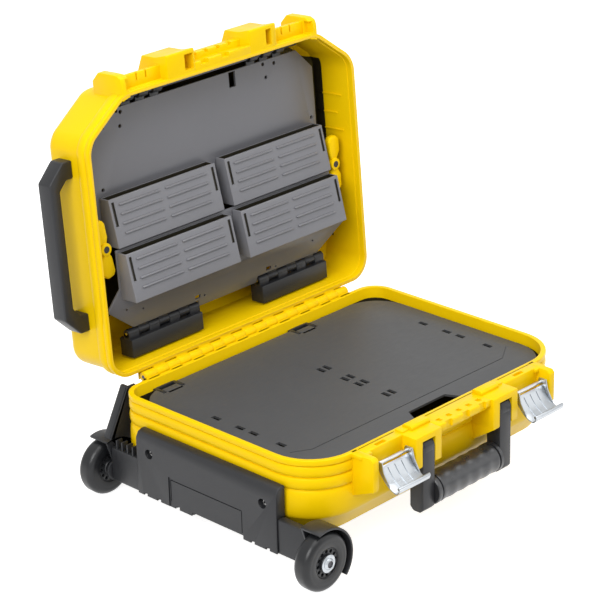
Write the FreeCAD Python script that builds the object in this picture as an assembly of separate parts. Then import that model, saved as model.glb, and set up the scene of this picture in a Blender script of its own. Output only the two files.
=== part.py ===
import FreeCAD, Part
import math
import os

# A wheeled technician's case: a deep ribbed tray, a hinged lid that holds two swing-out tool pallets,
# a work board over the tray, two snap latches, a carry handle, two wheels and a telescopic pull handle.
# While modelling, x runs along the hinge from the case's middle, y is 0 on the hinge axis with the
# front at -y, and z is 0 on the tray's rim. The lid is drawn shut and then opened.

V = FreeCAD.Vector

# Cuts and fits
OVERRUN = 2.0
RUN_FIT = 0.05
SLIDE_FIT = 0.3
SIDE_PLAY = 0.5

# Case walls
CASE_LENGTH = 488.0
CASE_FRONT = 352.0
REAR_SETBACK = 8.0
REAR_CORNER_R = 32.0
FRONT_CORNER_R = 68.0
WALL = 7.0
CAVITY_DRAFT = 1.0
FLOOR = 4.0

# Tray bands, from the rim down
RIM_HEIGHT = 148.0
LIP_BAND = 7.0
UPPER_BAND = 16.0
MIDDLE_BAND = 17.0
LOWER_BAND = 40.0
BOTTOM_BEVEL = 23.0
BOTTOM_TUCK = 16.0
GROOVE_DEEP = 3.5
GROOVE_WIDE = 1.0
BULGE_SHARES = ((0.0, 1.0), (0.05, 0.5), (0.2, 0.12), (0.5, 0.0), (0.8, 0.12), (0.95, 0.5), (1.0, 1.0))

# Lid
LID_FRONT = 375.0
LID_DEEP = 88.0
LID_CHAMFER = 68.0
LID_CHAMFER_UP = 50.0
LID_CHAMFER_R = 34.0
LID_OPEN_DEG = 94.3
LID_GAP = 0.4
LID_LIP = 8.0
LID_BAND = 17.0
LID_STEP = 4.0
LID_BACK_R = 16.0
LID_BACK_SHARES = ((0.0, 0.0), (0.4, 0.08), (0.7, 0.29), (0.9, 0.56), (1.0, 0.85))

# Moulded hinge along the rear
KNUCKLE_R = 7.0
HINGE_END_IN = 51.15
KNUCKLE_COUNT = 19
KNUCKLE_WEB = 12.0
HINGE_PIN_R = 2.5

# Front flange, latch pillars and handle bosses of the tray
FLANGE_THICK = 14.0
FLANGE_IN = 68.0
BAY_SHELF_OUT = 12.0
BAY_SHELF_DROP = 28.0
PILLAR_WIDE = 11.0
PILLAR_OUT = 33.0
PILLAR_DROP = 76.0
PILLAR_SLOPE = 20.0
PILLAR_ROOT = 5.0
BOSS_WIDE = 49.0
BOSS_GAP = 4.0
BOSS_DROP = 42.0
BOSS_OUT = 34.0
LUG_OUT = 14.5
LUG_RISE = 5.5
LUG_THICK = 7.5
RAIL_OUT = 30.0

# Latches
LATCH_ROD_R = 2.5
LATCH_ROD_OUT = 23.5
LATCH_ROD_DROP = 14.5
LATCH_WIDE = 56.5
LATCH_GAP = 5.5
LATCH_PLATE = 1.6
# the sheet's bend and its cheeks when open, across and up from the rod
LATCH_CURVE = ((-5.5, -6.5), (-13.5, -17.5), (-21.5, -24.5), (-32.0, -28.5), (-36.5, -21.5))
LATCH_CHEEK = ((4.5, 0.5), (2.5, 5.0), (-8.8, 5.0), (-12.0, -8.0), (-21.5, -24.5), (-13.5, -17.5), (-5.5, -6.5),
               (3.0, -4.0))
KEEPER_OUT = 17.0
KEEPER_LOW = 15.0
KEEPER_HIGH = 22.0
KEEPER_EDGE = 3.0
KEEPER_NOTCH = 12.0
KEEPER_NOTCH_DEEP = 4.5
KEEPER_SPREAD = 28.0

# Carry handle
ARM_WIDE = 22.0
ARM_IN = 13.5
ARM_PIN_R = 3.0
ARM_PIN_DROP = 20.0
ARM_PIN_OUT = 23.0
ARM_TOP_R = 11.0
ARM_LONG = 66.0
GRIP_R = 20.0
GRIP_CORE_R = 8.0
GRIP_RISE = 22.0
ARM_SLOT_PLAY = 1.0

# Work board in the tray
BOARD_DROP = 12.4
BOARD_THICK = 3.0
BOARD_MARGIN = 4.0
BOARD_REAR_R = 66.0
BOARD_NOTCH_HALF = 48.0
BOARD_NOTCH_DEEP = 30.0
BOARD_NOTCH_SLOPE = 18.0
SLOT_LONG = 11.0
SLOT_WIDE = 6.0
SLOT_SIDE_IN = 45.6
SLOT_MID_X = 5.5
SLOT_ROWS = (140.5, 182.6, 206.7, 254.1)
LEDGE_WIDE = 24.0
LEDGE_LONG = 50.0
LEDGE_DEEP = 20.0
LEDGE_FROM_FRONT = 110.0

# Board hinge blocks at the rear
CLIP_LEFT_IN = 72.0
CLIP_RIGHT_IN = 165.0
CLIP_EAR = 6.0
CLIP_BRIDGE = 3.5
CLIP_GAP = 26.0
CLIP_DEEP = 20.0
CLIP_LOW = 16.0
CLIP_PLAY = 2.2
BOARD_PIN_R = 2.0
BOARD_PIN_DROP = 19.0
BOARD_PIN_IN = 11.0
BOARD_LUG_R = 4.5

# Wheels and axle
WHEEL_R = 38.0
WHEEL_WIDE = 24.0
HUB_R = 19.0
HUB_HOLES = 12
HUB_HOLE_R = 2.0
HUB_HOLE_RING = 13.2
TREAD_ROUND = 8.0
AXLE_OUT = 7.0
AXLE_R = 4.0
AXLE_CAP_R = 7.5
AXLE_CAP_LONG = 5.0
AXLE_CAP_GRIP = 3.0

# Axle beam, cover and fenders
BEAM_FACE_OUT = 14.0
BEAM_GAP = 2.0
BEAM_REAR_IN = 4.0
BEAM_LOW = 122.0
BEAM_HIGH = 75.0
BEAM_FOOT = 35.0
WHEEL_GAP = 3.0
COVER_THICK = 3.0
COVER_HIGH = 33.0
COVER_END = 48.0
COVER_BEVEL = 10.0
COVER_PANEL_HALF = 66.0
COVER_PANEL_DEEP = 1.4
COVER_PANEL_TOP = 80.0
SCREW_SPAN = 201.0
SCREW_DROP = 60.0
SCREW_HEAD_R = 5.0
SCREW_HEAD = 3.0
SCREW_R = 2.4
SCREW_SINK = 2.0
SCREW_BOSS_R = 7.0
FENDER_GAP = 4.0
FENDER_THICK = 3.0
FENDER_PLATE = 3.0
FENDER_LOW_DEG = -42.0
FENDER_HIGH_DEG = 108.0
FENDER_HUB_R = 14.0
GUARD_THICK = 14.0
GUARD_TOP_DROP = 2.0
GUARD_TOP_WIDE = 14.0
GUARD_TOP_IN = 34.0
GUARD_TOE_WIDE = 34.0
GUARD_FLANGE = 4.0
GUARD_WEB = 4.0

# Telescopic pull handle under the tray
TUBE_SPREAD = 150.0
TUBE_DROP = 9.5
TUBE_WALL = 0.9
OUTER_TUBE_R = 7.0
TUBE_LEFT_IN = 6.0
STAGE_INSET = 16.0
BLOCK_LONG = 46.0
BLOCK_WIDE = 180.0
BLOCK_FROM_END = 7.0
PULL_GAP = 1.0
PULL_LONG = 14.0
PULL_HIGH = 24.0
PULL_SOCKET = 9.0
PULL_OVERHANG = 14.0
PULL_BEVEL = 3.0
BUTTON_WIDE = 34.0
BUTTON_HIGH = 11.0
BUTTON_DEEP = 7.0
BUTTON_PROUD = 2.5
BUTTON_TRAVEL = 4.0
FOOT_R = 14.0
FOOT_HIGH = 10.0
FOOT_SPREAD = 130.0
FOOT_SCREW_R = 2.2
FOOT_SCREW_HEAD_R = 5.0
FOOT_SCREW_BITE = 8.0
FOOT_SCREW_SINK = 4.0
FOOT_SCREW_HEAD = 3.0

# Lid front bosses over the latches and the handle
LID_FRONT_LOW = 16.0
LID_PILLAR_DEEP = 57.0
LID_PILLAR_OUT = 22.0
LID_BOSS_OUT = 26.0
LID_BOSS_DEEP = 60.0
LID_BOSS_SLOPE = 12.0
LID_RAIL_DEEP = 32.0
LID_RAIL_OUT = 17.0

# Lid seal
SEAL_IN = 2.4
SEAL_WIDE = 2.6
SEAL_DEEP = 3.0

# Upper pallet on its rod
ROD_R = 3.0
ROD_V = 357.0
ROD_W = 40.0
ROD_END_IN = 72.0
ROD_KNUCKLE_R = 6.0
ROD_KNUCKLE_LONG = 16.0
ROD_KNUCKLE_IN = 164.0
ROD_KNUCKLES = 3
ROD_EAR_LONG = 9.0
PANEL_THICK = 3.0
PANEL_W = 43.0
PANEL_SIDE_IN = 39.0
PANEL_TOP_DROP = 7.0
PANEL_LOW_V = 174.0
PANEL_CHAMFER = 30.0
PANEL_SLOT_LEFT_IN = 21.0
PANEL_SLOT_RIGHT_IN = 153.0
PANEL_SLOT_V = 334.0
PANEL_SLOT_WIDE = 12.0
PANEL_SLOT_LONG = 21.0

# Tool pockets, the same moulding four times
POCKET_NEAR = 9.0
POCKET_SIDE_IN = 7.0
POCKET_HIGH = 63.0
POCKET_WALL = 2.2
POCKET_TOP_DEEP = 17.0
POCKET_LOW_DEEP = 29.0

# Lower pallet on its two brackets
SWING_V = 50.0
SWING_W = 34.0
SWING_R = 5.5
SWING_PIN_R = 2.0
LOWER_W = 23.0
LOWER_SIDE_IN = 45.0
LOWER_TOP_V = 171.0
LOWER_KNEE_V = 92.0
LOWER_FLARE_IN = 23.0
LOWER_FLARE_V = 97.0
LOWER_CHAMFER_IN = 76.0
LOWER_POCKET_V = 105.0
BRACKET_WIDE = 128.0
BRACKET_SIDE_IN = 59.0
BRACKET_BACK_W = 48.0
BRACKET_FRONT_W = 24.0
BRACKET_TOP_GAP = 7.0
PAD_V = 18.0
SWING_KNUCKLES = 3
GRILLE_HOLE_R = 2.0
GRILLE_HOLE_XS = (-34.0, 34.0)

# Wing knobs beside the pallets
KNOB_SIDE_IN = 30.0
KNOB_V = 177.0
KNOB_W = 32.0
KNOB_THICK = 12.0
KNOB_HUB_R = 7.5
KNOB_LONG = 40.0
KNOB_ROOT_HALF = 6.0
KNOB_TIP_HALF = 4.0
KNOB_TILT_DEG = -9.0
KNOB_SCREW_R = 2.5
KNOB_SCREW_HEAD_R = 4.6
KNOB_SCREW_HEAD = 2.0
KNOB_POST_HALF = 7.0
KNOB_POST_DEEP = 24.0
KNOB_SEAT_GAP = 0.3

# Stand handle on the lid's wheel end
STAND_LOW_V = 72.0
STAND_HIGH_V = 300.0
STAND_OUT = 39.0
STAND_BEVEL = 24.0
STAND_BAR = 16.0
STAND_ARM = 24.0
STAND_W = 50.0
STAND_WIDE = 24.0
STAND_SCREW_IN = 16.0

# Worked-out places
HALF = CASE_LENGTH / 2
FRONT_Y = -CASE_FRONT
REAR_Y = -REAR_SETBACK
MIDDLE_Y = (FRONT_Y + REAR_Y) / 2
BASE_DEEP = LIP_BAND + UPPER_BAND + MIDDLE_BAND + LOWER_BAND + BOTTOM_BEVEL
FLOOR_Z = -RIM_HEIGHT
LATCH_Y = FRONT_Y - LATCH_ROD_OUT
LATCH_Z = -LATCH_ROD_DROP
ARM_Y = FRONT_Y - ARM_PIN_OUT
ARM_Z = -ARM_PIN_DROP
BOARD_PIN_Y = REAR_Y - WALL - BOARD_PIN_IN
BOARD_PIN_Z = -BOARD_PIN_DROP
AXLE_X = -HALF - AXLE_OUT
AXLE_Z = FLOOR_Z + WHEEL_R
BEAM_FACE_X = -HALF - BEAM_FACE_OUT
TUBE_Z = -BASE_DEEP - TUBE_DROP
MIDDLE_TUBE_R = OUTER_TUBE_R - TUBE_WALL - RUN_FIT
INNER_TUBE_R = MIDDLE_TUBE_R - TUBE_WALL - RUN_FIT
BLOCK_RIGHT = HALF - BLOCK_FROM_END
PULL_X = BLOCK_RIGHT + PULL_GAP
BUTTON_X = PULL_X + PULL_LONG + BUTTON_PROUD
WHEEL_YS = {"front": FRONT_Y - WHEEL_GAP - WHEEL_WIDE / 2, "rear": REAR_Y + BEAM_REAR_IN + WHEEL_GAP
            + FENDER_PLATE + WHEEL_GAP + WHEEL_WIDE / 2}
LID_SIDE_X = HALF - LID_STEP
FOOT_TOP = FLOOR_Z + FOOT_HIGH

# Places along the case, from its middle
KNUCKLE_LONG = (CASE_LENGTH - 2 * HINGE_END_IN) / KNUCKLE_COUNT
FLANGE_HALF = HALF - FLANGE_IN
PILLAR_NEAR = FLANGE_HALF - PILLAR_WIDE
LATCH_FAR = PILLAR_NEAR - LATCH_GAP
LATCH_NEAR = LATCH_FAR - LATCH_WIDE
BOSS_FAR = LATCH_NEAR - BOSS_GAP
BOSS_NEAR = BOSS_FAR - BOSS_WIDE
ARM_FAR = BOSS_FAR - ARM_IN
ARM_NEAR = ARM_FAR - ARM_WIDE
SLOT_SIDE_X = HALF - SLOT_SIDE_IN
CLIP_XS = (-HALF + CLIP_LEFT_IN, HALF - CLIP_RIGHT_IN)
ROD_HALF = HALF - ROD_END_IN
ROD_KNUCKLE_START = HALF - ROD_KNUCKLE_IN
PANEL_HALF = HALF - PANEL_SIDE_IN
PANEL_SLOT_XS = (-PANEL_HALF + PANEL_SLOT_LEFT_IN, PANEL_HALF - PANEL_SLOT_RIGHT_IN)
POCKET_FAR = PANEL_HALF - POCKET_SIDE_IN
LOWER_HALF = HALF - LOWER_SIDE_IN
LOWER_FLARE_HALF = HALF - LOWER_FLARE_IN
LOWER_CHAMFER_HALF = HALF - LOWER_CHAMFER_IN
BRACKET_FAR = HALF - BRACKET_SIDE_IN
BRACKET_NEAR = BRACKET_FAR - BRACKET_WIDE
KNOB_X = HALF - KNOB_SIDE_IN

# The part's own origin is under the middle of its box on the floor.
LATCH_TIP = LATCH_PLATE - min(y for y, z in LATCH_CURVE)
OPEN_LEAN = math.radians(LID_OPEN_DEG - 90)
FRONT_REACH = -LATCH_Y + LATCH_TIP
BACK_REACH = (LID_FRONT - LID_BACK_R) * math.sin(OPEN_LEAN) + LID_DEEP * math.cos(OPEN_LEAN)
SHIFT = V((WHEEL_R - AXLE_X - BUTTON_X) / 2, (FRONT_REACH - BACK_REACH) / 2, RIM_HEIGHT)


def box(x0, x1, y0, y1, z0, z1):
    return Part.makeBox(x1 - x0, y1 - y0, z1 - z0, V(x0, y0, z0))


def side_box(side, near, far, y0, y1, z0, z1):
    x0, x1 = sorted((side * near, side * far))
    return box(x0, x1, y0, y1, z0, z1)


def rod_x(x0, x1, y, z, r):
    return Part.makeCylinder(r, x1 - x0, V(x0, y, z), V(1, 0, 0))


def rod_y(y0, y1, x, z, r):
    return Part.makeCylinder(r, y1 - y0, V(x, y0, z), V(0, 1, 0))


def rod_z(z0, z1, x, y, r):
    return Part.makeCylinder(r, z1 - z0, V(x, y, z0), V(0, 0, 1))


def prism_x(points, x0, x1):
    corners = [V(x0, y, z) for y, z in points]
    return Part.Face(Part.makePolygon(corners + corners[:1])).extrude(V(x1 - x0, 0, 0))


def prism_y(points, y0, y1):
    corners = [V(x, y0, z) for x, z in points]
    return Part.Face(Part.makePolygon(corners + corners[:1])).extrude(V(0, y1 - y0, 0))


def prism_z(points, z0, z1):
    corners = [V(x, y, z0) for x, y in points]
    return Part.Face(Part.makePolygon(corners + corners[:1])).extrude(V(0, 0, z1 - z0))


def join(first, others):
    return first.fuse(list(others)).removeSplitter()


def inset_corners(points, inset):
    # every edge of a convex outline, listed anticlockwise, moves in by the same distance
    lines = []
    for (ax, ay), (bx, by) in zip(points, points[1:] + points[:1]):
        long = math.hypot(bx - ax, by - ay)
        nx, ny = -(by - ay) / long, (bx - ax) / long
        lines.append((nx, ny, nx * ax + ny * ay + inset))
    corners = []
    for (a, b, c), (d, e, f) in zip(lines[-1:] + lines[:-1], lines):
        det = a * e - b * d
        corners.append(((c * e - b * f) / det, (a * f - c * d) / det))
    return corners


def rounded_wire(points, radii, z):
    count = len(points)
    spans = []
    for i in range(count):
        here = V(points[i][0], points[i][1], z)
        back = (V(points[i - 1][0], points[i - 1][1], z) - here).normalize()
        onward = points[(i + 1) % count]
        ahead = (V(onward[0], onward[1], z) - here).normalize()
        half = back.getAngle(ahead) / 2
        run = radii[i] / math.tan(half)
        middle = (back + ahead).normalize() * (radii[i] / math.sin(half) - radii[i])
        spans.append((here + back * run, here + middle, here + ahead * run))
    edges = []
    for i in range(count):
        edges.append(Part.Arc(*spans[i]).toShape())
        edges.append(Part.makeLine(spans[i][2], spans[(i + 1) % count][0]))
    return Part.Wire(edges)


def stacked(points, radii, levels):
    wires = [rounded_wire(inset_corners(points, d), [r - d for r in radii], z) for z, d in levels]
    return Part.makeLoft(wires, True, True)


def tray_outline():
    points = [(-HALF, FRONT_Y), (HALF, FRONT_Y), (HALF, REAR_Y), (-HALF, REAR_Y)]
    return points, [FRONT_CORNER_R, FRONT_CORNER_R, REAR_CORNER_R, REAR_CORNER_R]


def lid_outline():
    low = -LID_FRONT
    cut = HALF - LID_CHAMFER
    knee = low + LID_CHAMFER_UP
    points = [(-cut, low), (cut, low), (HALF, knee), (HALF, REAR_Y), (-HALF, REAR_Y), (-HALF, knee)]
    soft = LID_CHAMFER_R
    return points, [soft, soft, soft, REAR_CORNER_R, REAR_CORNER_R, soft]


def bulging(top, bottom, groove):
    start = top - GROOVE_WIDE
    return [(start + (bottom - start) * along, groove * deep) for along, deep in BULGE_SHARES]


def tray_levels():
    levels = [(0, 0), (-LIP_BAND, 0)]
    top = -LIP_BAND
    for band in (UPPER_BAND, MIDDLE_BAND, LOWER_BAND):
        levels += bulging(top, top - band, GROOVE_DEEP)
        top -= band
    return levels + [(-BASE_DEEP, BOTTOM_TUCK)]


def hinge_segments(first):
    start = -KNUCKLE_COUNT * KNUCKLE_LONG / 2
    play = SIDE_PLAY / 2
    for i in range(first, KNUCKLE_COUNT, 2):
        yield start + i * KNUCKLE_LONG + play, start + (i + 1) * KNUCKLE_LONG - play


def hinge_knuckles(first, z0, z1):
    pieces = []
    for x0, x1 in hinge_segments(first):
        pieces.append(rod_x(x0, x1, 0, 0, KNUCKLE_R))
        pieces.append(box(x0, x1, -KNUCKLE_WEB, 0, z0, z1))
    return pieces


def pin_bore():
    return rod_x(-HALF, HALF, 0, 0, HINGE_PIN_R + RUN_FIT)


def cover_screw_ys():
    return [MIDDLE_Y - SCREW_SPAN / 2, MIDDLE_Y + SCREW_SPAN / 2]


def base_shell():
    points, radii = tray_outline()
    body = stacked(points, radii, tray_levels())
    bands = BASE_DEEP - BOTTOM_BEVEL
    hollow = stacked(points, radii, [(OVERRUN, WALL), (-bands, WALL + CAVITY_DRAFT),
                                     (FLOOR - BASE_DEEP, WALL + BOTTOM_TUCK)])
    inner_front = FRONT_Y + WALL / 2
    extras = hinge_knuckles(0, -KNUCKLE_R, 0)
    # the flange is cut back to a shelf behind each latch
    extras.append(box(-BOSS_NEAR, BOSS_NEAR, FRONT_Y - RAIL_OUT, inner_front, -FLANGE_THICK, 0))
    for side in (-1, 1):
        shelf = FRONT_Y - BAY_SHELF_OUT
        extras.append(side_box(side, BOSS_FAR, PILLAR_NEAR, shelf, inner_front, -BAY_SHELF_DROP, 0))
        extras.append(latch_pillar(side))
        extras.append(handle_boss(side, inner_front))
    body = join(body, extras).cut(hollow)
    body = join(body, [board_ledge(side) for side in (-1, 1)])
    cuts = [pin_bore()]
    for side in (-1, 1):
        slot = ARM_SLOT_PLAY
        cuts.append(side_box(side, ARM_NEAR - slot, ARM_FAR + slot, FRONT_Y - BOSS_OUT - OVERRUN,
                             ARM_Y + ARM_TOP_R + slot, -BOSS_DROP - OVERRUN, ARM_Z + ARM_TOP_R + slot))
        x0, x1 = sorted((side * (BOSS_NEAR - OVERRUN), side * (BOSS_FAR - WALL)))
        cuts.append(rod_x(x0, x1, ARM_Y, ARM_Z, ARM_PIN_R + RUN_FIT))
        x0, x1 = sorted((side * (BOSS_FAR - WALL / 2), side * (PILLAR_NEAR + WALL)))
        cuts.append(rod_x(x0, x1, LATCH_Y, LATCH_Z, LATCH_ROD_R + RUN_FIT))
    for y in cover_screw_ys():
        cuts.append(rod_x(-HALF - OVERRUN, -HALF + WALL + OVERRUN, y, -SCREW_DROP, SCREW_R + RUN_FIT))
    return body.cut(cuts)


def latch_pillar(side):
    front = FRONT_Y - PILLAR_OUT
    root = FRONT_Y + PILLAR_ROOT
    points = [(root, 0), (front, 0), (front, PILLAR_SLOPE - PILLAR_DROP), (FRONT_Y, -PILLAR_DROP),
              (root, -PILLAR_DROP)]
    x0, x1 = sorted((side * PILLAR_NEAR, side * FLANGE_HALF))
    return prism_x(points, x0, x1)


def handle_boss(side, inner_front):
    front = FRONT_Y - BOSS_OUT
    lug = FRONT_Y - LUG_OUT
    points = [(inner_front, 0), (lug + LUG_THICK, 0), (lug + LUG_THICK, LUG_RISE), (lug, LUG_RISE), (lug, 0),
              (front, 0), (front, -BOSS_DROP), (inner_front, -BOSS_DROP)]
    x0, x1 = sorted((side * BOSS_NEAR, side * BOSS_FAR))
    return prism_x(points, x0, x1)


def board_ledge(side):
    top = -BOARD_DROP - BOARD_THICK
    y0 = FRONT_Y + LEDGE_FROM_FRONT
    wide = HALF - WALL / 2
    return side_box(side, wide - LEDGE_WIDE, wide, y0, y0 + LEDGE_LONG, top - LEDGE_DEEP, top)


def work_board():
    # the rear corners are rounder than the tray's so that the board can lift past them
    points = tray_outline()[0]
    radii = [FRONT_CORNER_R, FRONT_CORNER_R, BOARD_REAR_R, BOARD_REAR_R]
    inset = WALL + CAVITY_DRAFT + BOARD_MARGIN
    low = -BOARD_DROP - BOARD_THICK
    board = stacked(points, radii, [(low, inset), (-BOARD_DROP, inset)])
    cuts = []
    z0, z1 = low - OVERRUN, -BOARD_DROP + OVERRUN
    edge = FRONT_Y + inset
    half = BOARD_NOTCH_HALF
    top = half - BOARD_NOTCH_SLOPE
    cuts.append(prism_z([(-half, edge - OVERRUN), (half, edge - OVERRUN), (top, edge + BOARD_NOTCH_DEEP),
                         (-top, edge + BOARD_NOTCH_DEEP)], z0, z1))
    for y in SLOT_ROWS:
        for x in (-SLOT_SIDE_X, -SLOT_MID_X, SLOT_MID_X, SLOT_SIDE_X):
            cuts.append(box(x - SLOT_WIDE / 2, x + SLOT_WIDE / 2, -y - SLOT_LONG / 2, -y + SLOT_LONG / 2, z0, z1))
    lugs = []
    for x in CLIP_XS:
        reach = CLIP_GAP / 2 + CLIP_EAR + SIDE_PLAY
        cuts.append(box(x - reach, x + reach, REAR_Y - WALL - CLIP_DEEP - CLIP_PLAY, 0, z0, z1))
        half = CLIP_GAP / 2 - SIDE_PLAY
        lugs.append(rod_x(x - half, x + half, BOARD_PIN_Y, BOARD_PIN_Z, BOARD_LUG_R))
        lugs.append(box(x - half, x + half, REAR_Y - WALL - CLIP_DEEP - CLIP_EAR, BOARD_PIN_Y, BOARD_PIN_Z
                        - BOARD_LUG_R, low))
        lugs.append(box(x - half, x + half, REAR_Y - WALL - CLIP_DEEP - CLIP_EAR, BOARD_PIN_Y, low,
                        -BOARD_DROP))
    board = join(board.cut(cuts), lugs)
    return board.cut([board_pin(x, RUN_FIT) for x in CLIP_XS])


def board_pin(x, fit):
    half = CLIP_GAP / 2 + CLIP_EAR
    return rod_x(x - half, x + half, BOARD_PIN_Y, BOARD_PIN_Z, BOARD_PIN_R + fit)


def board_clip(x):
    # a bridge on the rear wall with two ears that carry the pin
    low = BOARD_PIN_Z - CLIP_LOW
    back = REAR_Y - WALL - CAVITY_DRAFT * (OVERRUN - low) / (OVERRUN + BASE_DEEP - BOTTOM_BEVEL)
    half = CLIP_GAP / 2
    pieces = [box(x - half - CLIP_EAR, x - half, REAR_Y - WALL - CLIP_DEEP, back - RUN_FIT, low, -BOARD_DROP),
              box(x + half, x + half + CLIP_EAR, REAR_Y - WALL - CLIP_DEEP, back - RUN_FIT, low, -BOARD_DROP)]
    bridge = box(x - half, x + half, back - CLIP_BRIDGE, back - RUN_FIT, low, -BOARD_DROP)
    floor = box(x - half, x + half, REAR_Y - WALL - CLIP_DEEP, back - RUN_FIT, low, low + CLIP_EAR)
    return join(bridge, pieces + [floor]).cut(board_pin(x, RUN_FIT))


def axle_beam():
    gap_x = -HALF - BEAM_GAP
    points = [(BEAM_FACE_X, -BEAM_LOW), (-HALF + BEAM_FOOT, -BEAM_LOW), (-HALF + BEAM_FOOT, -BASE_DEEP),
              (-HALF, -BASE_DEEP), (gap_x, -BEAM_HIGH), (BEAM_FACE_X, -BEAM_HIGH)]
    body = prism_y(points, FRONT_Y + BEAM_REAR_IN, REAR_Y + BEAM_REAR_IN)
    cuts = [rod_y(FRONT_Y - OVERRUN, REAR_Y + BEAM_REAR_IN + OVERRUN, AXLE_X, AXLE_Z, AXLE_R + RUN_FIT)]
    for y in tube_ys():
        cuts.append(rod_x(-HALF + TUBE_LEFT_IN, -HALF + BEAM_FOOT + OVERRUN, y, TUBE_Z, OUTER_TUBE_R + RUN_FIT))
    return body.cut(cuts)


def wheel_cover():
    gap_x = -HALF - BEAM_GAP / 2
    face = BEAM_FACE_X - COVER_THICK
    outer = [(gap_x, -COVER_HIGH), (face + COVER_BEVEL, -COVER_HIGH), (face, -COVER_HIGH - COVER_BEVEL),
             (face, -BEAM_LOW), (BEAM_FACE_X, -BEAM_LOW), (BEAM_FACE_X, -BEAM_HIGH), (gap_x, -BEAM_HIGH)]
    y0, y1 = FRONT_Y + COVER_END, REAR_Y - COVER_END
    body = prism_y(outer, y0, y1)
    top = -COVER_HIGH - COVER_THICK
    slope = COVER_BEVEL - COVER_THICK / 2
    inner = [(gap_x + OVERRUN, top), (BEAM_FACE_X + slope, top), (BEAM_FACE_X, top - slope),
             (BEAM_FACE_X, -BEAM_HIGH - OVERRUN), (gap_x + OVERRUN, -BEAM_HIGH - OVERRUN)]
    body = body.cut(prism_y(inner, y0 + COVER_THICK, y1 - COVER_THICK))
    bosses = [rod_x(BEAM_FACE_X - COVER_THICK / 2, gap_x, y, -SCREW_DROP, SCREW_BOSS_R) for y in cover_screw_ys()]
    body = join(body, bosses)
    half = COVER_PANEL_HALF
    cuts = [box(face - OVERRUN, face + COVER_PANEL_DEEP, MIDDLE_Y - half, MIDDLE_Y + half, -BEAM_LOW - OVERRUN,
                -COVER_PANEL_TOP)]
    for y in cover_screw_ys():
        cuts.append(rod_x(face - OVERRUN, face + SCREW_SINK + SCREW_HEAD, y, -SCREW_DROP, SCREW_HEAD_R + RUN_FIT))
        cuts.append(rod_x(face, gap_x + OVERRUN, y, -SCREW_DROP, SCREW_R + RUN_FIT))
    return body.cut(cuts)


def cover_screw(y):
    start = BEAM_FACE_X - COVER_THICK + SCREW_SINK
    head = rod_x(start, start + SCREW_HEAD, y, -SCREW_DROP, SCREW_HEAD_R)
    return join(head, [rod_x(start, -HALF + WALL, y, -SCREW_DROP, SCREW_R)])


def axle():
    return rod_y(wheel_outer("front") - AXLE_CAP_GRIP, wheel_outer("rear") + AXLE_CAP_GRIP, AXLE_X, AXLE_Z, AXLE_R)


def wheel_outer(end):
    return WHEEL_YS[end] + (WHEEL_WIDE / 2 if end == "rear" else -WHEEL_WIDE / 2)


def axle_cap(end):
    # a domed push cap closes the axle end outside the wheel
    face = wheel_outer(end)
    out = 1 if end == "rear" else -1
    seat = face + out * SLIDE_FIT
    start = min(seat, seat + out * AXLE_CAP_LONG)
    cap = rod_y(start, start + AXLE_CAP_LONG, AXLE_X, AXLE_Z, AXLE_CAP_R)
    return cap.cut(rod_y(face - AXLE_CAP_GRIP, face + AXLE_CAP_GRIP, AXLE_X, AXLE_Z, AXLE_R + RUN_FIT))


def tyre(end):
    y0 = WHEEL_YS[end] - WHEEL_WIDE / 2
    ring = rod_y(y0, y0 + WHEEL_WIDE, AXLE_X, AXLE_Z, WHEEL_R)
    edges = [e for e in ring.Edges if isinstance(e.Curve, Part.Circle)]
    ring = ring.makeFillet(TREAD_ROUND, edges)
    return ring.cut(rod_y(y0 - OVERRUN, y0 + WHEEL_WIDE + OVERRUN, AXLE_X, AXLE_Z, HUB_R))


def hub(end):
    y0 = WHEEL_YS[end] - WHEEL_WIDE / 2
    body = rod_y(y0, y0 + WHEEL_WIDE, AXLE_X, AXLE_Z, HUB_R)
    cuts = [rod_y(y0 - OVERRUN, y0 + WHEEL_WIDE + OVERRUN, AXLE_X, AXLE_Z, AXLE_R + RUN_FIT)]
    for i in range(HUB_HOLES):
        turn = 2 * math.pi * i / HUB_HOLES
        x = AXLE_X + HUB_HOLE_RING * math.cos(turn)
        z = AXLE_Z + HUB_HOLE_RING * math.sin(turn)
        cuts.append(rod_y(y0 - OVERRUN, y0 + WHEEL_WIDE + OVERRUN, x, z, HUB_HOLE_R))
    return body.cut(cuts)


def ring_sector(y0, y1, inner, outer):
    turn = FENDER_HIGH_DEG - FENDER_LOW_DEG
    sector = Part.makeCylinder(outer, y1 - y0, V(AXLE_X, y0, AXLE_Z), V(0, 1, 0), turn)
    sector.rotate(V(AXLE_X, y0, AXLE_Z), V(0, 1, 0), fender_start(sector))
    return sector.cut(rod_y(y0 - OVERRUN, y1 + OVERRUN, AXLE_X, AXLE_Z, inner)) if inner else sector


def fender_start(sector):
    # turns the drawn sector so that its middle points along the fender's middle
    middle = sector.CenterOfMass - V(AXLE_X, 0, AXLE_Z)
    drawn = math.degrees(math.atan2(middle.z, middle.x))
    return drawn - (FENDER_HIGH_DEG + FENDER_LOW_DEG) / 2


def fender(end):
    inner = WHEEL_R + FENDER_GAP
    outer = inner + FENDER_THICK
    face = FRONT_Y + BEAM_REAR_IN if end == "front" else REAR_Y + BEAM_REAR_IN
    out = -1 if end == "front" else 1
    y0, y1 = sorted((face, WHEEL_YS[end] + out * WHEEL_WIDE / 2))
    plate0, plate1 = sorted((face, face + out * FENDER_PLATE))
    pieces = [ring_sector(plate0, plate1, 0, outer),
              rod_y(plate0, plate1, AXLE_X, AXLE_Z, FENDER_HUB_R)]
    if end == "rear":
        pieces.append(corner_guard(plate0, outer))
    body = join(ring_sector(y0, y1, inner, outer), pieces)
    return body.cut(rod_y(y0 - OVERRUN, y1 + OVERRUN, AXLE_X, AXLE_Z, AXLE_R + RUN_FIT))


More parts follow.
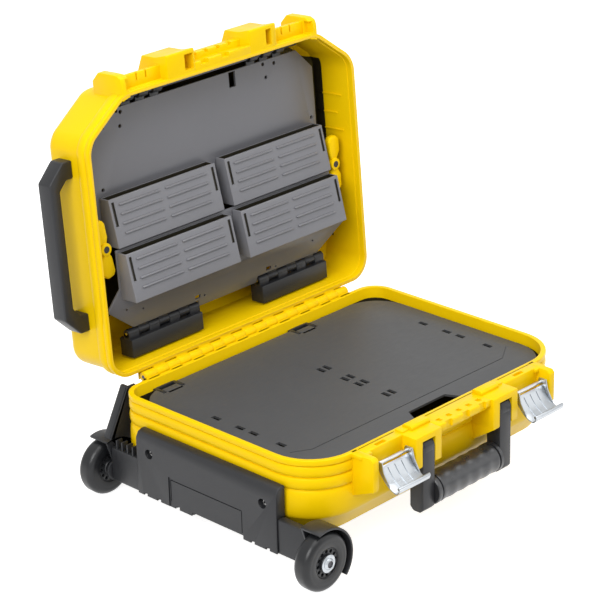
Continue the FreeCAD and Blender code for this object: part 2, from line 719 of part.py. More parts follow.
def corner_guard(plate0, outer):
    # a tapered web with a raised edge from the fender's crown to the hinge corner
    top = -GUARD_TOP_DROP
    crown = AXLE_Z + outer - FENDER_THICK / 2
    right = -HALF + GUARD_TOP_IN
    outline = [(AXLE_X - FENDER_HUB_R / 2, crown), (AXLE_X + GUARD_TOE_WIDE, AXLE_Z), (right, top),
               (right - GUARD_TOP_WIDE, top)]
    web = prism_y(outline, plate0, plate0 + GUARD_WEB)
    slim = GUARD_FLANGE
    edge = [(AXLE_X - FENDER_HUB_R / 2, crown), (AXLE_X - FENDER_HUB_R / 2 + 2 * slim, crown),
            (right - GUARD_TOP_WIDE + slim, top), (right - GUARD_TOP_WIDE, top)]
    return join(web, [prism_y(edge, plate0, plate0 + GUARD_THICK)])


def tube_ys():
    return [MIDDLE_Y - TUBE_SPREAD / 2, MIDDLE_Y + TUBE_SPREAD / 2]


def tube(x0, x1, y, r):
    return rod_x(x0, x1, y, TUBE_Z, r).cut(rod_x(x0 - OVERRUN, x1 + OVERRUN, y, TUBE_Z, r - TUBE_WALL))


def tube_block():
    body = box(BLOCK_RIGHT - BLOCK_LONG, BLOCK_RIGHT, MIDDLE_Y - BLOCK_WIDE / 2, MIDDLE_Y + BLOCK_WIDE / 2,
               FOOT_TOP, -BASE_DEEP)
    cuts = [rod_x(BLOCK_RIGHT - BLOCK_LONG - OVERRUN, BLOCK_RIGHT + OVERRUN, y, TUBE_Z, OUTER_TUBE_R + RUN_FIT)
            for y in tube_ys()]
    for x, y in foot_places():
        cuts.append(rod_z(FOOT_TOP - OVERRUN, FOOT_TOP + FOOT_SCREW_BITE, x, y, FOOT_SCREW_R + RUN_FIT))
    return body.cut(cuts)


def foot_places():
    x = BLOCK_RIGHT - BLOCK_LONG / 2
    return [(x, MIDDLE_Y - FOOT_SPREAD / 2), (x, MIDDLE_Y + FOOT_SPREAD / 2)]


def rubber_foot(x, y):
    body = rod_z(FLOOR_Z, FOOT_TOP, x, y, FOOT_R)
    head = rod_z(FLOOR_Z - OVERRUN, FLOOR_Z + FOOT_SCREW_SINK + FOOT_SCREW_HEAD, x, y, FOOT_SCREW_HEAD_R + RUN_FIT)
    return body.cut([head, rod_z(FLOOR_Z, FOOT_TOP + OVERRUN, x, y, FOOT_SCREW_R + RUN_FIT)])


def foot_screw(x, y):
    low = FLOOR_Z + FOOT_SCREW_SINK
    head = rod_z(low, low + FOOT_SCREW_HEAD, x, y, FOOT_SCREW_HEAD_R)
    return join(head, [rod_z(low, FOOT_TOP + FOOT_SCREW_BITE, x, y, FOOT_SCREW_R)])


def pull_bar():
    half = TUBE_SPREAD / 2 + PULL_OVERHANG
    low = TUBE_Z - PULL_HIGH / 2
    high = TUBE_Z + PULL_HIGH / 2
    far = PULL_X + PULL_LONG
    soft = PULL_BEVEL
    points = [(PULL_X, low), (far - soft, low), (far, low + soft), (far, high - soft), (far - soft, high),
              (PULL_X, high)]
    body = prism_y(points, MIDDLE_Y - half, MIDDLE_Y + half)
    cuts = [rod_x(PULL_X - OVERRUN, PULL_X + PULL_SOCKET, y, TUBE_Z, INNER_TUBE_R + RUN_FIT) for y in tube_ys()]
    deep = BUTTON_DEEP + BUTTON_TRAVEL
    cuts.append(button_block(far - deep, far + OVERRUN, SLIDE_FIT))
    return body.cut(cuts)


def button_block(x0, x1, fit):
    wide = BUTTON_WIDE / 2 + fit
    high = BUTTON_HIGH / 2 + fit
    return box(x0, x1, MIDDLE_Y - wide, MIDDLE_Y + wide, TUBE_Z - high, TUBE_Z + high)


def release_button():
    far = PULL_X + PULL_LONG
    return button_block(far - BUTTON_DEEP, far + BUTTON_PROUD, 0)


def bent_sheet(points, thick):
    # the given line and the same line moved over by the sheet's thickness
    moved = []
    for i, (y, z) in enumerate(points):
        y0, z0 = points[max(i - 1, 0)]
        y1, z1 = points[min(i + 1, len(points) - 1)]
        long = math.hypot(y1 - y0, z1 - z0)
        moved.append((y - thick * (z1 - z0) / long, z + thick * (y1 - y0) / long))
    return list(points) + moved[::-1]


def latch(side):
    x0, x1 = sorted((side * LATCH_NEAR, side * LATCH_FAR))
    plate = LATCH_PLATE
    sheet = [(LATCH_Y + y, LATCH_Z + z) for y, z in bent_sheet(LATCH_CURVE, plate)]
    cheek = [(LATCH_Y + y, LATCH_Z + z) for y, z in LATCH_CHEEK]
    body = join(prism_x(sheet, x0, x1), [prism_x(cheek, x0, x0 + plate), prism_x(cheek, x1 - plate, x1)])
    return body.cut(rod_x(x0 - OVERRUN, x1 + OVERRUN, LATCH_Y, LATCH_Z, LATCH_ROD_R + RUN_FIT))


def keeper(side, inner_front):
    # the shut latch's lip hooks over this bar
    front = -LID_FRONT - KEEPER_OUT
    bar = side_box(side, BOSS_FAR - WALL / 2, PILLAR_NEAR + WALL / 2, front, inner_front, KEEPER_LOW, KEEPER_HIGH)
    middle = side * (LATCH_NEAR + LATCH_FAR) / 2
    half = KEEPER_NOTCH / 2
    notches = []
    for x in (middle - KEEPER_SPREAD / 2, middle + KEEPER_SPREAD / 2):
        notches.append(box(x - half, x + half, front - OVERRUN, front + KEEPER_NOTCH_DEEP, KEEPER_LOW - OVERRUN,
                           KEEPER_HIGH - KEEPER_EDGE))
    return bar.cut(notches)


def latch_rod(side):
    x0, x1 = sorted((side * (BOSS_FAR - WALL / 2 + SIDE_PLAY), side * (PILLAR_NEAR + WALL - SIDE_PLAY)))
    return rod_x(x0, x1, LATCH_Y, LATCH_Z, LATCH_ROD_R)


def handle_frame():
    low = ARM_Z - ARM_LONG
    pieces = []
    for side in (-1, 1):
        x0, x1 = sorted((side * ARM_NEAR, side * ARM_FAR))
        front = ARM_Y - ARM_TOP_R
        back = ARM_Y + ARM_TOP_R
        bottom = low - GRIP_RISE
        toe = ARM_TOP_R / 2
        pieces.append(rod_x(x0, x1, ARM_Y, ARM_Z, ARM_TOP_R))
        pieces.append(prism_x([(front, ARM_Z), (front, bottom + toe), (front + toe, bottom), (back - toe, bottom),
                               (back, bottom + toe), (back, ARM_Z)], x0, x1))
    body = join(rod_x(-ARM_FAR, ARM_FAR, ARM_Y, low, GRIP_CORE_R), pieces)
    return body.cut(rod_x(-ARM_FAR - OVERRUN, ARM_FAR + OVERRUN, ARM_Y, ARM_Z, ARM_PIN_R + RUN_FIT))


def handle_grip():
    long = ARM_NEAR - SIDE_PLAY / 2
    low = ARM_Z - ARM_LONG
    body = rod_x(-long, long, ARM_Y, low, GRIP_R)
    return body.cut(rod_x(-long - OVERRUN, long + OVERRUN, ARM_Y, low, GRIP_CORE_R + RUN_FIT))


def handle_pin(side):
    x0, x1 = sorted((side * (BOSS_NEAR + SIDE_PLAY), side * (BOSS_FAR - WALL - SIDE_PLAY)))
    return rod_x(x0, x1, ARM_Y, ARM_Z, ARM_PIN_R)


def lid_levels():
    levels = [(LID_GAP, 0), (LID_LIP, 0)]
    low = LID_LIP + GROOVE_WIDE
    levels += [(low + (LID_BAND - GROOVE_WIDE) * along, LID_STEP * deep) for along, deep in BULGE_SHARES]
    for along, deep in LID_BACK_SHARES:
        levels.append((LID_DEEP - LID_BACK_R + LID_BACK_R * along, LID_STEP + LID_BACK_R * deep))
    return levels


def lid_shell():
    points, radii = lid_outline()
    body = stacked(points, radii, lid_levels())
    back = LID_DEEP - FLOOR
    hollow = stacked(points, radii, [(LID_GAP - OVERRUN, WALL), (LID_DEEP - LID_BACK_R, WALL + CAVITY_DRAFT),
                                     (back, WALL + LID_BACK_R)])
    inner_front = -LID_FRONT + WALL / 2
    extras = hinge_knuckles(1, LID_GAP, KNUCKLE_R)
    extras.append(box(-BOSS_NEAR, BOSS_NEAR, -LID_FRONT - LID_RAIL_OUT, inner_front, LID_FRONT_LOW, LID_RAIL_DEEP))
    inside = []
    for side in (-1, 1):
        extras += lid_front(side, inner_front)
        inside += lid_inside(side)
    body = join(join(body, extras).cut(hollow), inside)
    cuts = [pin_bore(), pallet_rod(RUN_FIT, OVERRUN)]
    seal_out = SEAL_IN - RUN_FIT
    seal_in = SEAL_IN + SEAL_WIDE + RUN_FIT
    cuts.append(ring(points, radii, seal_out, seal_in, LID_GAP - OVERRUN, LID_GAP + SEAL_DEEP + RUN_FIT))
    for side in (-1, 1):
        cuts.append(rod_z(KNOB_W, KNOB_W + KNOB_POST_DEEP, side * KNOB_X, -KNOB_V, KNOB_SCREW_R + RUN_FIT))
    for v in stand_screw_vs():
        cuts.append(rod_x(-HALF, -HALF + LID_STEP + WALL, -v, STAND_W, SCREW_R + RUN_FIT))
    return body.cut(cuts)


def ring(points, radii, outer, inner, z0, z1):
    body = stacked(points, radii, [(z0, outer), (z1, outer)])
    return body.cut(stacked(points, radii, [(z0 - OVERRUN, inner), (z1 + OVERRUN, inner)]))


def lid_front(side, inner_front):
    # the outer pillar and the boss over the carry handle's arm, with the latch's keeper between them
    front = -LID_FRONT - LID_PILLAR_OUT
    slope = LID_BOSS_SLOPE
    root = -LID_FRONT + LID_CHAMFER_UP
    low = LID_FRONT_LOW
    deep = LID_PILLAR_DEEP
    x0, x1 = sorted((side * PILLAR_NEAR, side * FLANGE_HALF))
    pieces = [prism_x([(root, low), (front, low), (front, deep - slope), (front + slope, deep), (root, deep)], x0,
                      x1), keeper(side, inner_front)]
    front = -LID_FRONT - LID_BOSS_OUT
    deep = LID_BOSS_DEEP
    x0, x1 = sorted((side * BOSS_NEAR, side * BOSS_FAR))
    pieces.append(prism_x([(inner_front, low), (front, low), (front, deep - slope), (-LID_FRONT, deep),
                           (inner_front, deep)], x0, x1))
    return pieces


def lid_inside(side):
    pieces = []
    for x0, x1 in rod_ears(side):
        pieces.append(box(x0, x1, -LID_FRONT + WALL / 2, -ROD_V + ROD_KNUCKLE_R, ROD_W - ROD_KNUCKLE_R,
                          ROD_W + ROD_KNUCKLE_R))
    pieces.append(side_box(side, BRACKET_NEAR, BRACKET_FAR, -PAD_V, REAR_Y - WALL / 2, BRACKET_FRONT_W,
                           BRACKET_BACK_W))
    post = KNOB_POST_HALF
    pieces.append(side_box(side, KNOB_X - post, LID_SIDE_X - WALL / 2, -KNOB_V - post, -KNOB_V + post, KNOB_W,
                           KNOB_W + KNOB_POST_DEEP))
    return pieces


def rod_pitch():
    return ROD_KNUCKLE_LONG + ROD_EAR_LONG


def rod_ears(side):
    for i in range(ROD_KNUCKLES + 1):
        near = ROD_KNUCKLE_START - ROD_EAR_LONG + i * rod_pitch()
        yield sorted((side * near, side * (near + ROD_EAR_LONG)))


def rod_knuckles(side):
    play = SIDE_PLAY
    for i in range(ROD_KNUCKLES):
        near = ROD_KNUCKLE_START + i * rod_pitch()
        yield sorted((side * (near + play), side * (near + ROD_KNUCKLE_LONG - play)))


def pallet_rod(fit, extra):
    return rod_x(-ROD_HALF - extra, ROD_HALF + extra, -ROD_V, ROD_W, ROD_R + fit)


def lid_seal():
    points, radii = lid_outline()
    return ring(points, radii, SEAL_IN, SEAL_IN + SEAL_WIDE, LID_GAP, LID_GAP + SEAL_DEEP)


def upper_panel():
    top = ROD_V - PANEL_TOP_DROP
    half = PANEL_HALF
    cut = PANEL_CHAMFER
    points = [(-half, -PANEL_LOW_V), (-half, -top + cut), (-half + cut, -top), (half - cut, -top),
              (half, -top + cut), (half, -PANEL_LOW_V)]
    plate = prism_z(points, PANEL_W, PANEL_W + PANEL_THICK)
    pieces = []
    for side in (-1, 1):
        for x0, x1 in rod_knuckles(side):
            pieces.append(rod_x(x0, x1, -ROD_V, ROD_W, ROD_KNUCKLE_R))
            pieces.append(box(x0, x1, -ROD_V, -top + PANEL_TOP_DROP, PANEL_W, PANEL_W + PANEL_THICK))
    cuts = [pallet_rod(RUN_FIT, OVERRUN)]
    for x in PANEL_SLOT_XS:
        cuts.append(box(x - PANEL_SLOT_WIDE / 2, x + PANEL_SLOT_WIDE / 2, -PANEL_SLOT_V - PANEL_SLOT_LONG / 2,
                        -PANEL_SLOT_V + PANEL_SLOT_LONG / 2, PANEL_W - OVERRUN, PANEL_W + PANEL_THICK + OVERRUN))
    return join(plate, pieces).cut(cuts)


def pocket(side, low_v, seat_w):
    # an open-topped bin with a leaning front, seated on a flat plate
    x0, x1 = sorted((side * POCKET_NEAR, side * POCKET_FAR))
    high_v = low_v + POCKET_HIGH
    wall = POCKET_WALL
    outer = [(-low_v, seat_w), (-high_v, seat_w), (-high_v, seat_w - POCKET_TOP_DEEP),
             (-low_v, seat_w - POCKET_LOW_DEEP)]
    slope = (POCKET_LOW_DEEP - POCKET_TOP_DEEP) / POCKET_HIGH
    past = high_v + OVERRUN
    inner = [(-low_v - wall, seat_w - wall), (-past, seat_w - wall),
             (-past, seat_w - POCKET_TOP_DEEP + slope * OVERRUN + wall),
             (-low_v - wall, seat_w - POCKET_LOW_DEEP + slope * wall + wall)]
    return prism_x(outer, x0, x1).cut(prism_x(inner, x0 + wall, x1 - wall))


def lower_panel():
    thick = PANEL_THICK
    front = LOWER_W - thick
    profile = [(-LOWER_TOP_V, front), (-LOWER_KNEE_V, front), (-SWING_V, SWING_W - thick / 2),
               (-SWING_V, SWING_W + thick), (-LOWER_KNEE_V, LOWER_W), (-LOWER_TOP_V, LOWER_W)]
    plate = prism_x(profile, -LOWER_FLARE_HALF, LOWER_FLARE_HALF)
    tall = LID_DEEP
    low = -SWING_V + thick
    outline = [(-LOWER_HALF, -LOWER_TOP_V - OVERRUN), (LOWER_HALF, -LOWER_TOP_V - OVERRUN),
               (LOWER_HALF, -LOWER_FLARE_V - LOWER_FLARE_HALF + LOWER_HALF), (LOWER_FLARE_HALF, -LOWER_FLARE_V),
               (LOWER_FLARE_HALF, -LOWER_KNEE_V), (LOWER_CHAMFER_HALF, low), (-LOWER_CHAMFER_HALF, low),
               (-LOWER_FLARE_HALF, -LOWER_KNEE_V), (-LOWER_FLARE_HALF, -LOWER_FLARE_V),
               (-LOWER_HALF, -LOWER_FLARE_V - LOWER_FLARE_HALF + LOWER_HALF)]
    plate = plate.common(prism_z(outline, -tall, tall))
    cuts = []
    clear = SWING_R + SIDE_PLAY
    for side in (-1, 1):
        x0, x1 = sorted((side * BRACKET_NEAR, side * BRACKET_FAR))
        cuts.append(rod_x(x0 - OVERRUN, x1 + OVERRUN, -SWING_V, SWING_W, clear))
    plate = plate.cut(cuts)
    pieces = []
    for side in (-1, 1):
        for x0, x1 in swing_knuckles(side, 1):
            pieces.append(rod_x(x0, x1, -SWING_V, SWING_W, SWING_R))
            pieces.append(knuckle_web(x0, x1))
    bores = [swing_pin(side, RUN_FIT, OVERRUN) for side in (-1, 1)]
    for x in GRILLE_HOLE_XS:
        y = -(LOWER_KNEE_V + SWING_V) / 2
        bores.append(rod_z(-tall, tall, x, y, GRILLE_HOLE_R))
    return join(plate, pieces).cut(bores)


def knuckle_web(x0, x1):
    # follows the sloping foot of the plate into the barrel
    thick = PANEL_THICK
    share = (SWING_R + OVERRUN) / (LOWER_KNEE_V - SWING_V)
    far_v = SWING_V + (LOWER_KNEE_V - SWING_V) * share
    front = SWING_W - thick / 2 + (LOWER_W - thick / 2 - SWING_W) * share
    return prism_x([(-SWING_V, SWING_W - thick / 2), (-far_v, front), (-far_v, front + thick),
                    (-SWING_V, SWING_W + thick / 2)], x0, x1)


def swing_cells():
    return 2 * SWING_KNUCKLES + 1


def swing_knuckles(side, first):
    long = (BRACKET_FAR - BRACKET_NEAR) / swing_cells()
    play = SIDE_PLAY / 2
    for i in range(first, swing_cells(), 2):
        near = BRACKET_NEAR + i * long
        yield sorted((side * (near + play), side * (near + long - play)))


def swing_pin(side, fit, extra):
    x0, x1 = sorted((side * BRACKET_NEAR, side * BRACKET_FAR))
    return rod_x(x0 - extra, x1 + extra, -SWING_V, SWING_W, SWING_PIN_R + fit)


def hinge_bracket(side):
    top = -SWING_V + BRACKET_TOP_GAP
    body = side_box(side, BRACKET_NEAR, BRACKET_FAR, top, -PAD_V, BRACKET_FRONT_W, BRACKET_BACK_W)
    pieces = []
    for x0, x1 in swing_knuckles(side, 0):
        pieces.append(rod_x(x0, x1, -SWING_V, SWING_W, SWING_R))
        pieces.append(box(x0, x1, -SWING_V, top, SWING_W - SWING_R, SWING_W + SWING_R))
    return join(body, pieces).cut(swing_pin(side, RUN_FIT, OVERRUN))


def wing_knob(side):
    x, y = side * KNOB_X, -KNOB_V
    front = KNOB_W - KNOB_SEAT_GAP - KNOB_THICK
    back = KNOB_W - KNOB_SEAT_GAP
    root, tip, long = KNOB_ROOT_HALF, KNOB_TIP_HALF, KNOB_LONG
    wings = prism_z([(x - tip, y - long), (x + tip, y - long), (x + root, y), (x + tip, y + long),
                     (x - tip, y + long), (x - root, y)], front, back)
    body = join(rod_z(front, back, x, y, KNOB_HUB_R), [wings])
    sink = front + KNOB_SCREW_HEAD
    body = body.cut([rod_z(front - OVERRUN, back + OVERRUN, x, y, KNOB_SCREW_R + RUN_FIT),
                     rod_z(front - OVERRUN, sink, x, y, KNOB_SCREW_HEAD_R + RUN_FIT)])
    if side < 0:
        body.rotate(V(x, y, 0), V(0, 0, 1), KNOB_TILT_DEG)
    return body


def knob_screw(side):
    x, y = side * KNOB_X, -KNOB_V
    front = KNOB_W - KNOB_SEAT_GAP - KNOB_THICK
    head = rod_z(front - RUN_FIT, front + KNOB_SCREW_HEAD - RUN_FIT, x, y, KNOB_SCREW_HEAD_R)
    return join(head, [rod_z(front, KNOB_W + KNOB_POST_DEEP - SIDE_PLAY, x, y, KNOB_SCREW_R)])


def stand_handle():
    wall = -LID_SIDE_X
    out = wall - STAND_OUT
    low, high = -STAND_HIGH_V, -STAND_LOW_V
    bevel = STAND_BEVEL
    outer = [(wall, low), (out + bevel, low), (out, low + bevel), (out, high - bevel), (out + bevel, high),
             (wall, high)]
    bar, arm = STAND_BAR, STAND_ARM
    inner = [(wall + OVERRUN, low + arm), (out + bar + bevel / 2, low + arm), (out + bar, low + arm + bevel / 2),
             (out + bar, high - arm - bevel / 2), (out + bar + bevel / 2, high - arm),
             (wall + OVERRUN, high - arm)]
    z0, z1 = STAND_W - STAND_WIDE / 2, STAND_W + STAND_WIDE / 2
    body = prism_z(outer, z0, z1).cut(prism_z(inner, z0 - OVERRUN, z1 + OVERRUN))
    cuts = []
    for v in stand_screw_vs():
        cuts.append(rod_x(out - OVERRUN, wall + OVERRUN, -v, STAND_W, SCREW_R + RUN_FIT))
        cuts.append(rod_x(out - OVERRUN, wall - STAND_SCREW_IN, -v, STAND_W, SCREW_HEAD_R + RUN_FIT))
    return body.cut(cuts)


def stand_screw_vs():
    return [STAND_LOW_V + STAND_ARM / 2, STAND_HIGH_V - STAND_ARM / 2]


def stand_screw(v):
    wall = -LID_SIDE_X
    seat = wall - STAND_SCREW_IN
    head = rod_x(seat - SCREW_HEAD, seat, -v, STAND_W, SCREW_HEAD_R)
    return join(head, [rod_x(seat - SCREW_HEAD, wall + WALL / 2, -v, STAND_W, SCREW_R)])


def emit(name, solids, on_lid=False):
    shape = Part.makeCompound(solids) if isinstance(solids, list) else solids
    if on_lid:
        shape.rotate(V(0, 0, 0), V(1, 0, 0), -LID_OPEN_DEG)
    shape.translate(SHIFT)
    shape.exportStep(os.path.join("parts", name + ".step"))
    print(name, len(shape.Solids), "solids", round(shape.Volume), "mm3", "valid" if shape.isValid() else "INVALID")


def build():
    os.makedirs("parts", exist_ok=True)
    sides = (-1, 1)
    names = {-1: "left", 1: "right"}
    emit("base_shell", base_shell())
    emit("hinge_pin", rod_x(-KNUCKLE_COUNT * KNUCKLE_LONG / 2, KNUCKLE_COUNT * KNUCKLE_LONG / 2, 0, 0, HINGE_PIN_R))
    emit("work_board", work_board())
    emit("board_hinge_blocks", [board_clip(x) for x in CLIP_XS])
    emit("board_hinge_pins", [board_pin(x, 0) for x in CLIP_XS])
    emit("axle_beam", axle_beam())
    emit("wheel_cover", wheel_cover())
    emit("cover_screws", [cover_screw(y) for y in cover_screw_ys()])
    emit("axle", axle())
    emit("axle_caps", [axle_cap(end) for end in WHEEL_YS])
    for end in WHEEL_YS:
        emit(end + "_tyre", tyre(end))
        emit(end + "_hub", hub(end))
        emit(end + "_fender", fender(end))
    left = -HALF + TUBE_LEFT_IN
    ys = tube_ys()
    emit("outer_tubes", [tube(left, BLOCK_RIGHT, y, OUTER_TUBE_R) for y in ys])
    emit("middle_tubes", [tube(left + STAGE_INSET, BLOCK_RIGHT, y, MIDDLE_TUBE_R) for y in ys])
    emit("inner_tubes", [tube(left + 2 * STAGE_INSET, PULL_X + PULL_SOCKET, y, INNER_TUBE_R) for y in ys])
    emit("tube_end_block", tube_block())
    emit("pull_bar", pull_bar())
    emit("release_button", release_button())
    emit("rubber_feet", [rubber_foot(x, y) for x, y in foot_places()])
    emit("foot_screws", [foot_screw(x, y) for x, y in foot_places()])
    for side in sides:
        emit(names[side] + "_latch", latch(side))
    emit("latch_rods", [latch_rod(side) for side in sides])
    emit("carry_handle_frame", handle_frame())
    emit("carry_handle_grip", handle_grip())
    emit("carry_handle_pins", [handle_pin(side) for side in sides])
    emit("lid_shell", lid_shell(), True)
    emit("lid_seal", lid_seal(), True)
    emit("pallet_rod", pallet_rod(0, 0), True)
    emit("upper_panel", upper_panel(), True)
    emit("lower_panel", lower_panel(), True)
    for side in sides:
        name = names[side]
        emit("upper_pocket_" + name, pocket(side, PANEL_LOW_V, PANEL_W), True)
        emit("lower_pocket_" + name, pocket(side, LOWER_POCKET_V, LOWER_W - PANEL_THICK), True)
        emit("hinge_bracket_" + name, hinge_bracket(side), True)
        emit("wing_knob_" + name, wing_knob(side), True)
    emit("bracket_pins", [swing_pin(side, 0, 0) for side in sides], True)
    emit("knob_screws", [knob_screw(side) for side in sides], True)
    emit("stand_handle", stand_handle(), True)
    emit("stand_handle_screws", [stand_screw(v) for v in stand_screw_vs()], True)


build()
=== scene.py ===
import math

import bmesh
import bpy
from mathutils import Matrix, Vector


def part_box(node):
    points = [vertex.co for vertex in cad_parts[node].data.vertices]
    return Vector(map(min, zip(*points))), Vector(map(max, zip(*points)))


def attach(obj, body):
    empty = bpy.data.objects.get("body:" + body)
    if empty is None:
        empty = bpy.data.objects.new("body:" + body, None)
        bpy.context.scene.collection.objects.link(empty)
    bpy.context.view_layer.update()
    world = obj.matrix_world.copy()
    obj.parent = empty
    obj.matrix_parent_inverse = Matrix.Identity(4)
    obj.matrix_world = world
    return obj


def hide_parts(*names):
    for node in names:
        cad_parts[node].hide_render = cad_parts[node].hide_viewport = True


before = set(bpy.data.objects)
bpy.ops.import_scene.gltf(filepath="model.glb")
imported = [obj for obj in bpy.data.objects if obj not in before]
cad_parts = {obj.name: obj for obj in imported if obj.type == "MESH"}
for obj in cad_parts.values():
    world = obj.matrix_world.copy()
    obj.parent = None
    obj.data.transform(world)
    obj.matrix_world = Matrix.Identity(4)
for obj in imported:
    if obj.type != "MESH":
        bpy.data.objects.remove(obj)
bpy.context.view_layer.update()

pinLow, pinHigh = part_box("hinge_pin")
hingePlace = Matrix.Translation((pinLow + pinHigh) / 2)  # shapes are drawn in mm from the hinge's middle
millimetre = Matrix.Scale(0.001, 4)
lidOpen = 94.3  # degrees from shut
lidTurn = Matrix.Rotation(math.radians(-lidOpen), 4, "X")  # lid pieces are drawn shut, inside down
cornerSteps = 10
sharpAngle = math.radians(30)
sides = (-1, 1)
sideName = {-1: "left", 1: "right"}


# shapes

def soften(bm, soft, segments=2, least=28):
    if soft:
        bm.normal_update()
        edges = [e for e in bm.edges if e.is_manifold and e.calc_face_angle(0) > math.radians(least)]
        bmesh.ops.bevel(bm, geom=edges, offset=soft, affect="EDGES", segments=segments, profile=0.5, material=-1,
                        clamp_overlap=True)
    return bm


def slab(x0, x1, y0, y1, z0, z1, soft=0.0, segments=2):
    bm = bmesh.new()
    bmesh.ops.create_cube(bm, size=1)
    bmesh.ops.scale(bm, vec=(abs(x1 - x0), abs(y1 - y0), abs(z1 - z0)), verts=bm.verts)
    bmesh.ops.translate(bm, vec=((x0 + x1) / 2, (y0 + y1) / 2, (z0 + z1) / 2), verts=bm.verts)
    return soften(bm, soft, segments)


def newVerts(grown):
    return [g for g in grown if isinstance(g, bmesh.types.BMVert)]


def prism(points, axis, start, end, soft=0.0, segments=2):
    bm = bmesh.new()
    spot = {"x": lambda p: (start, p[0], p[1]), "y": lambda p: (p[0], start, p[1]), "z": lambda p: (p[0], p[1], start)}
    along = Vector([end - start if a == axis else 0 for a in "xyz"])
    face = bm.faces.new([bm.verts.new(spot[axis](p)) for p in points])
    grown = bmesh.ops.extrude_face_region(bm, geom=[face])["geom"]
    bmesh.ops.translate(bm, vec=along, verts=newVerts(grown))
    bmesh.ops.recalc_face_normals(bm, faces=bm.faces)
    return soften(bm, soft, segments)


axisTurn = {"x": Matrix.Rotation(math.pi / 2, 4, "Y"), "y": Matrix.Rotation(-math.pi / 2, 4, "X"),
            "z": Matrix.Identity(4)}


def rod(axis, start, end, across, up, radius, soft=0.0, sidesRound=36):
    bm = bmesh.new()
    bmesh.ops.create_cone(bm, cap_ends=True, segments=sidesRound, radius1=radius, radius2=radius,
                          depth=abs(end - start))
    middle = (start + end) / 2
    spot = {"x": (middle, across, up), "y": (across, middle, up), "z": (across, up, middle)}[axis]
    bmesh.ops.transform(bm, matrix=Matrix.Translation(spot) @ axisTurn[axis], verts=bm.verts)
    return soften(bm, soft, least=50)


def lathe(profile, axis, across, up, steps):  # profile of (along, radius)
    bm = bmesh.new()
    chain = [bm.verts.new((radius, 0, along)) for along, radius in profile]
    edges = [bm.edges.new(pair) for pair in zip(chain, chain[1:])]
    bmesh.ops.spin(bm, geom=chain + edges, cent=(0, 0, 0), axis=(0, 0, 1), angle=2 * math.pi, steps=steps,
                   use_merge=True)
    bmesh.ops.remove_doubles(bm, verts=bm.verts, dist=0.0005)
    spot = {"x": (0, across, up), "y": (across, 0, up), "z": (across, up, 0)}[axis]
    bmesh.ops.transform(bm, matrix=Matrix.Translation(spot) @ axisTurn[axis], verts=bm.verts)
    bmesh.ops.recalc_face_normals(bm, faces=bm.faces)
    return bm


def roundedFace(points, radii, height):
    bm = bmesh.new()
    corners = [bm.verts.new((x, y, height)) for x, y in points]
    bm.faces.new(corners)
    for i, corner in enumerate(corners):
        here = Vector(points[i])
        back = (Vector(points[i - 1]) - here).normalized()
        ahead = (Vector(points[(i + 1) % len(points)]) - here).normalized()
        if radii[i] > 0:
            bmesh.ops.bevel(bm, geom=[corner], offset=radii[i] / math.tan(back.angle(ahead) / 2), affect="VERTICES",
                            segments=cornerSteps, profile=0.5, material=-1)
    return bm


def tub(points, radii, levels):  # one closed shell through all the (height, inset) levels
    bm = roundedFace(points, radii, levels[0][0])
    bm.faces.ensure_lookup_table()
    face = bm.faces[0]
    face.normal_update()
    if face.normal.z < 0:
        face.normal_flip()
    ring = [loop.vert for loop in face.loops]
    flat = [v.co.to_2d() for v in ring]
    inward = []
    for i, here in enumerate(flat):
        before = (here - flat[i - 1]).normalized()
        after = (flat[(i + 1) % len(flat)] - here).normalized()
        middle = (Vector((-before.y, before.x)) + Vector((-after.y, after.x))).normalized()
        inward.append(middle / middle.dot(Vector((-after.y, after.x))))
    for step, (height, inset) in enumerate(levels):
        if step:
            place = {v: i for i, v in enumerate(ring)}
            before = face
            grown = bmesh.ops.extrude_face_region(bm, geom=[before])["geom"]
            face = [g for g in grown if isinstance(g, bmesh.types.BMFace)][0]
            if step > 1 and before.is_valid:
                bm.faces.remove(before)
            ringNew = list(ring)
            for vert in newVerts(grown):
                old = [e.other_vert(vert) for e in vert.link_edges if e.other_vert(vert) in place][0]
                ringNew[place[old]] = vert
            ring = ringNew
        for vert, start, push in zip(ring, flat, inward):
            vert.co = (*(start + push * inset), height)
    bmesh.ops.recalc_face_normals(bm, faces=bm.faces)
    return bm


def toMesh(bm, name):
    mesh = bpy.data.meshes.new(name)
    bm.to_mesh(mesh)
    bm.free()
    return mesh


def linked(name, data):
    made = bpy.data.objects.new(name, data)
    bpy.context.scene.collection.objects.link(made)
    return made


def together(*parts):
    bm = bmesh.new()
    for part in parts:
        mesh = toMesh(part, "scratch")
        bm.from_mesh(mesh)
        bpy.data.meshes.remove(mesh)
    return bm


def carve(bm, *cutters):
    block, tool = [linked("scratch", toMesh(shape, "scratch")) for shape in (bm, together(*cutters))]
    cut = block.modifiers.new("cut", "BOOLEAN")
    cut.operation = "DIFFERENCE"
    cut.solver = "EXACT"
    cut.object = tool
    mesh = bpy.data.meshes.new_from_object(block.evaluated_get(bpy.context.evaluated_depsgraph_get()))
    out = bmesh.new()
    out.from_mesh(mesh)
    bpy.data.meshes.remove(mesh)
    for scrap in (block, tool):
        mesh = scrap.data
        bpy.data.objects.remove(scrap)
        bpy.data.meshes.remove(mesh)
    return out


def moved(bm, matrix):
    bmesh.ops.transform(bm, matrix=matrix, verts=bm.verts)
    return bm


def pair(side, near, far):
    return sorted((side * near, side * far))


def finishPiece(bm, name, body, look, nodes=(), onLid=False):
    bmesh.ops.recalc_face_normals(bm, faces=bm.faces)
    moved(bm, hingePlace @ (lidTurn if onLid else Matrix.Identity(4)) @ millimetre)
    mesh = toMesh(bm, name)
    mesh.shade_smooth()
    mesh.set_sharp_from_angle(angle=sharpAngle)
    mesh.materials.append(look)
    piece = linked(name, mesh)
    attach(piece, body)
    if nodes:
        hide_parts(*nodes)


# finishes

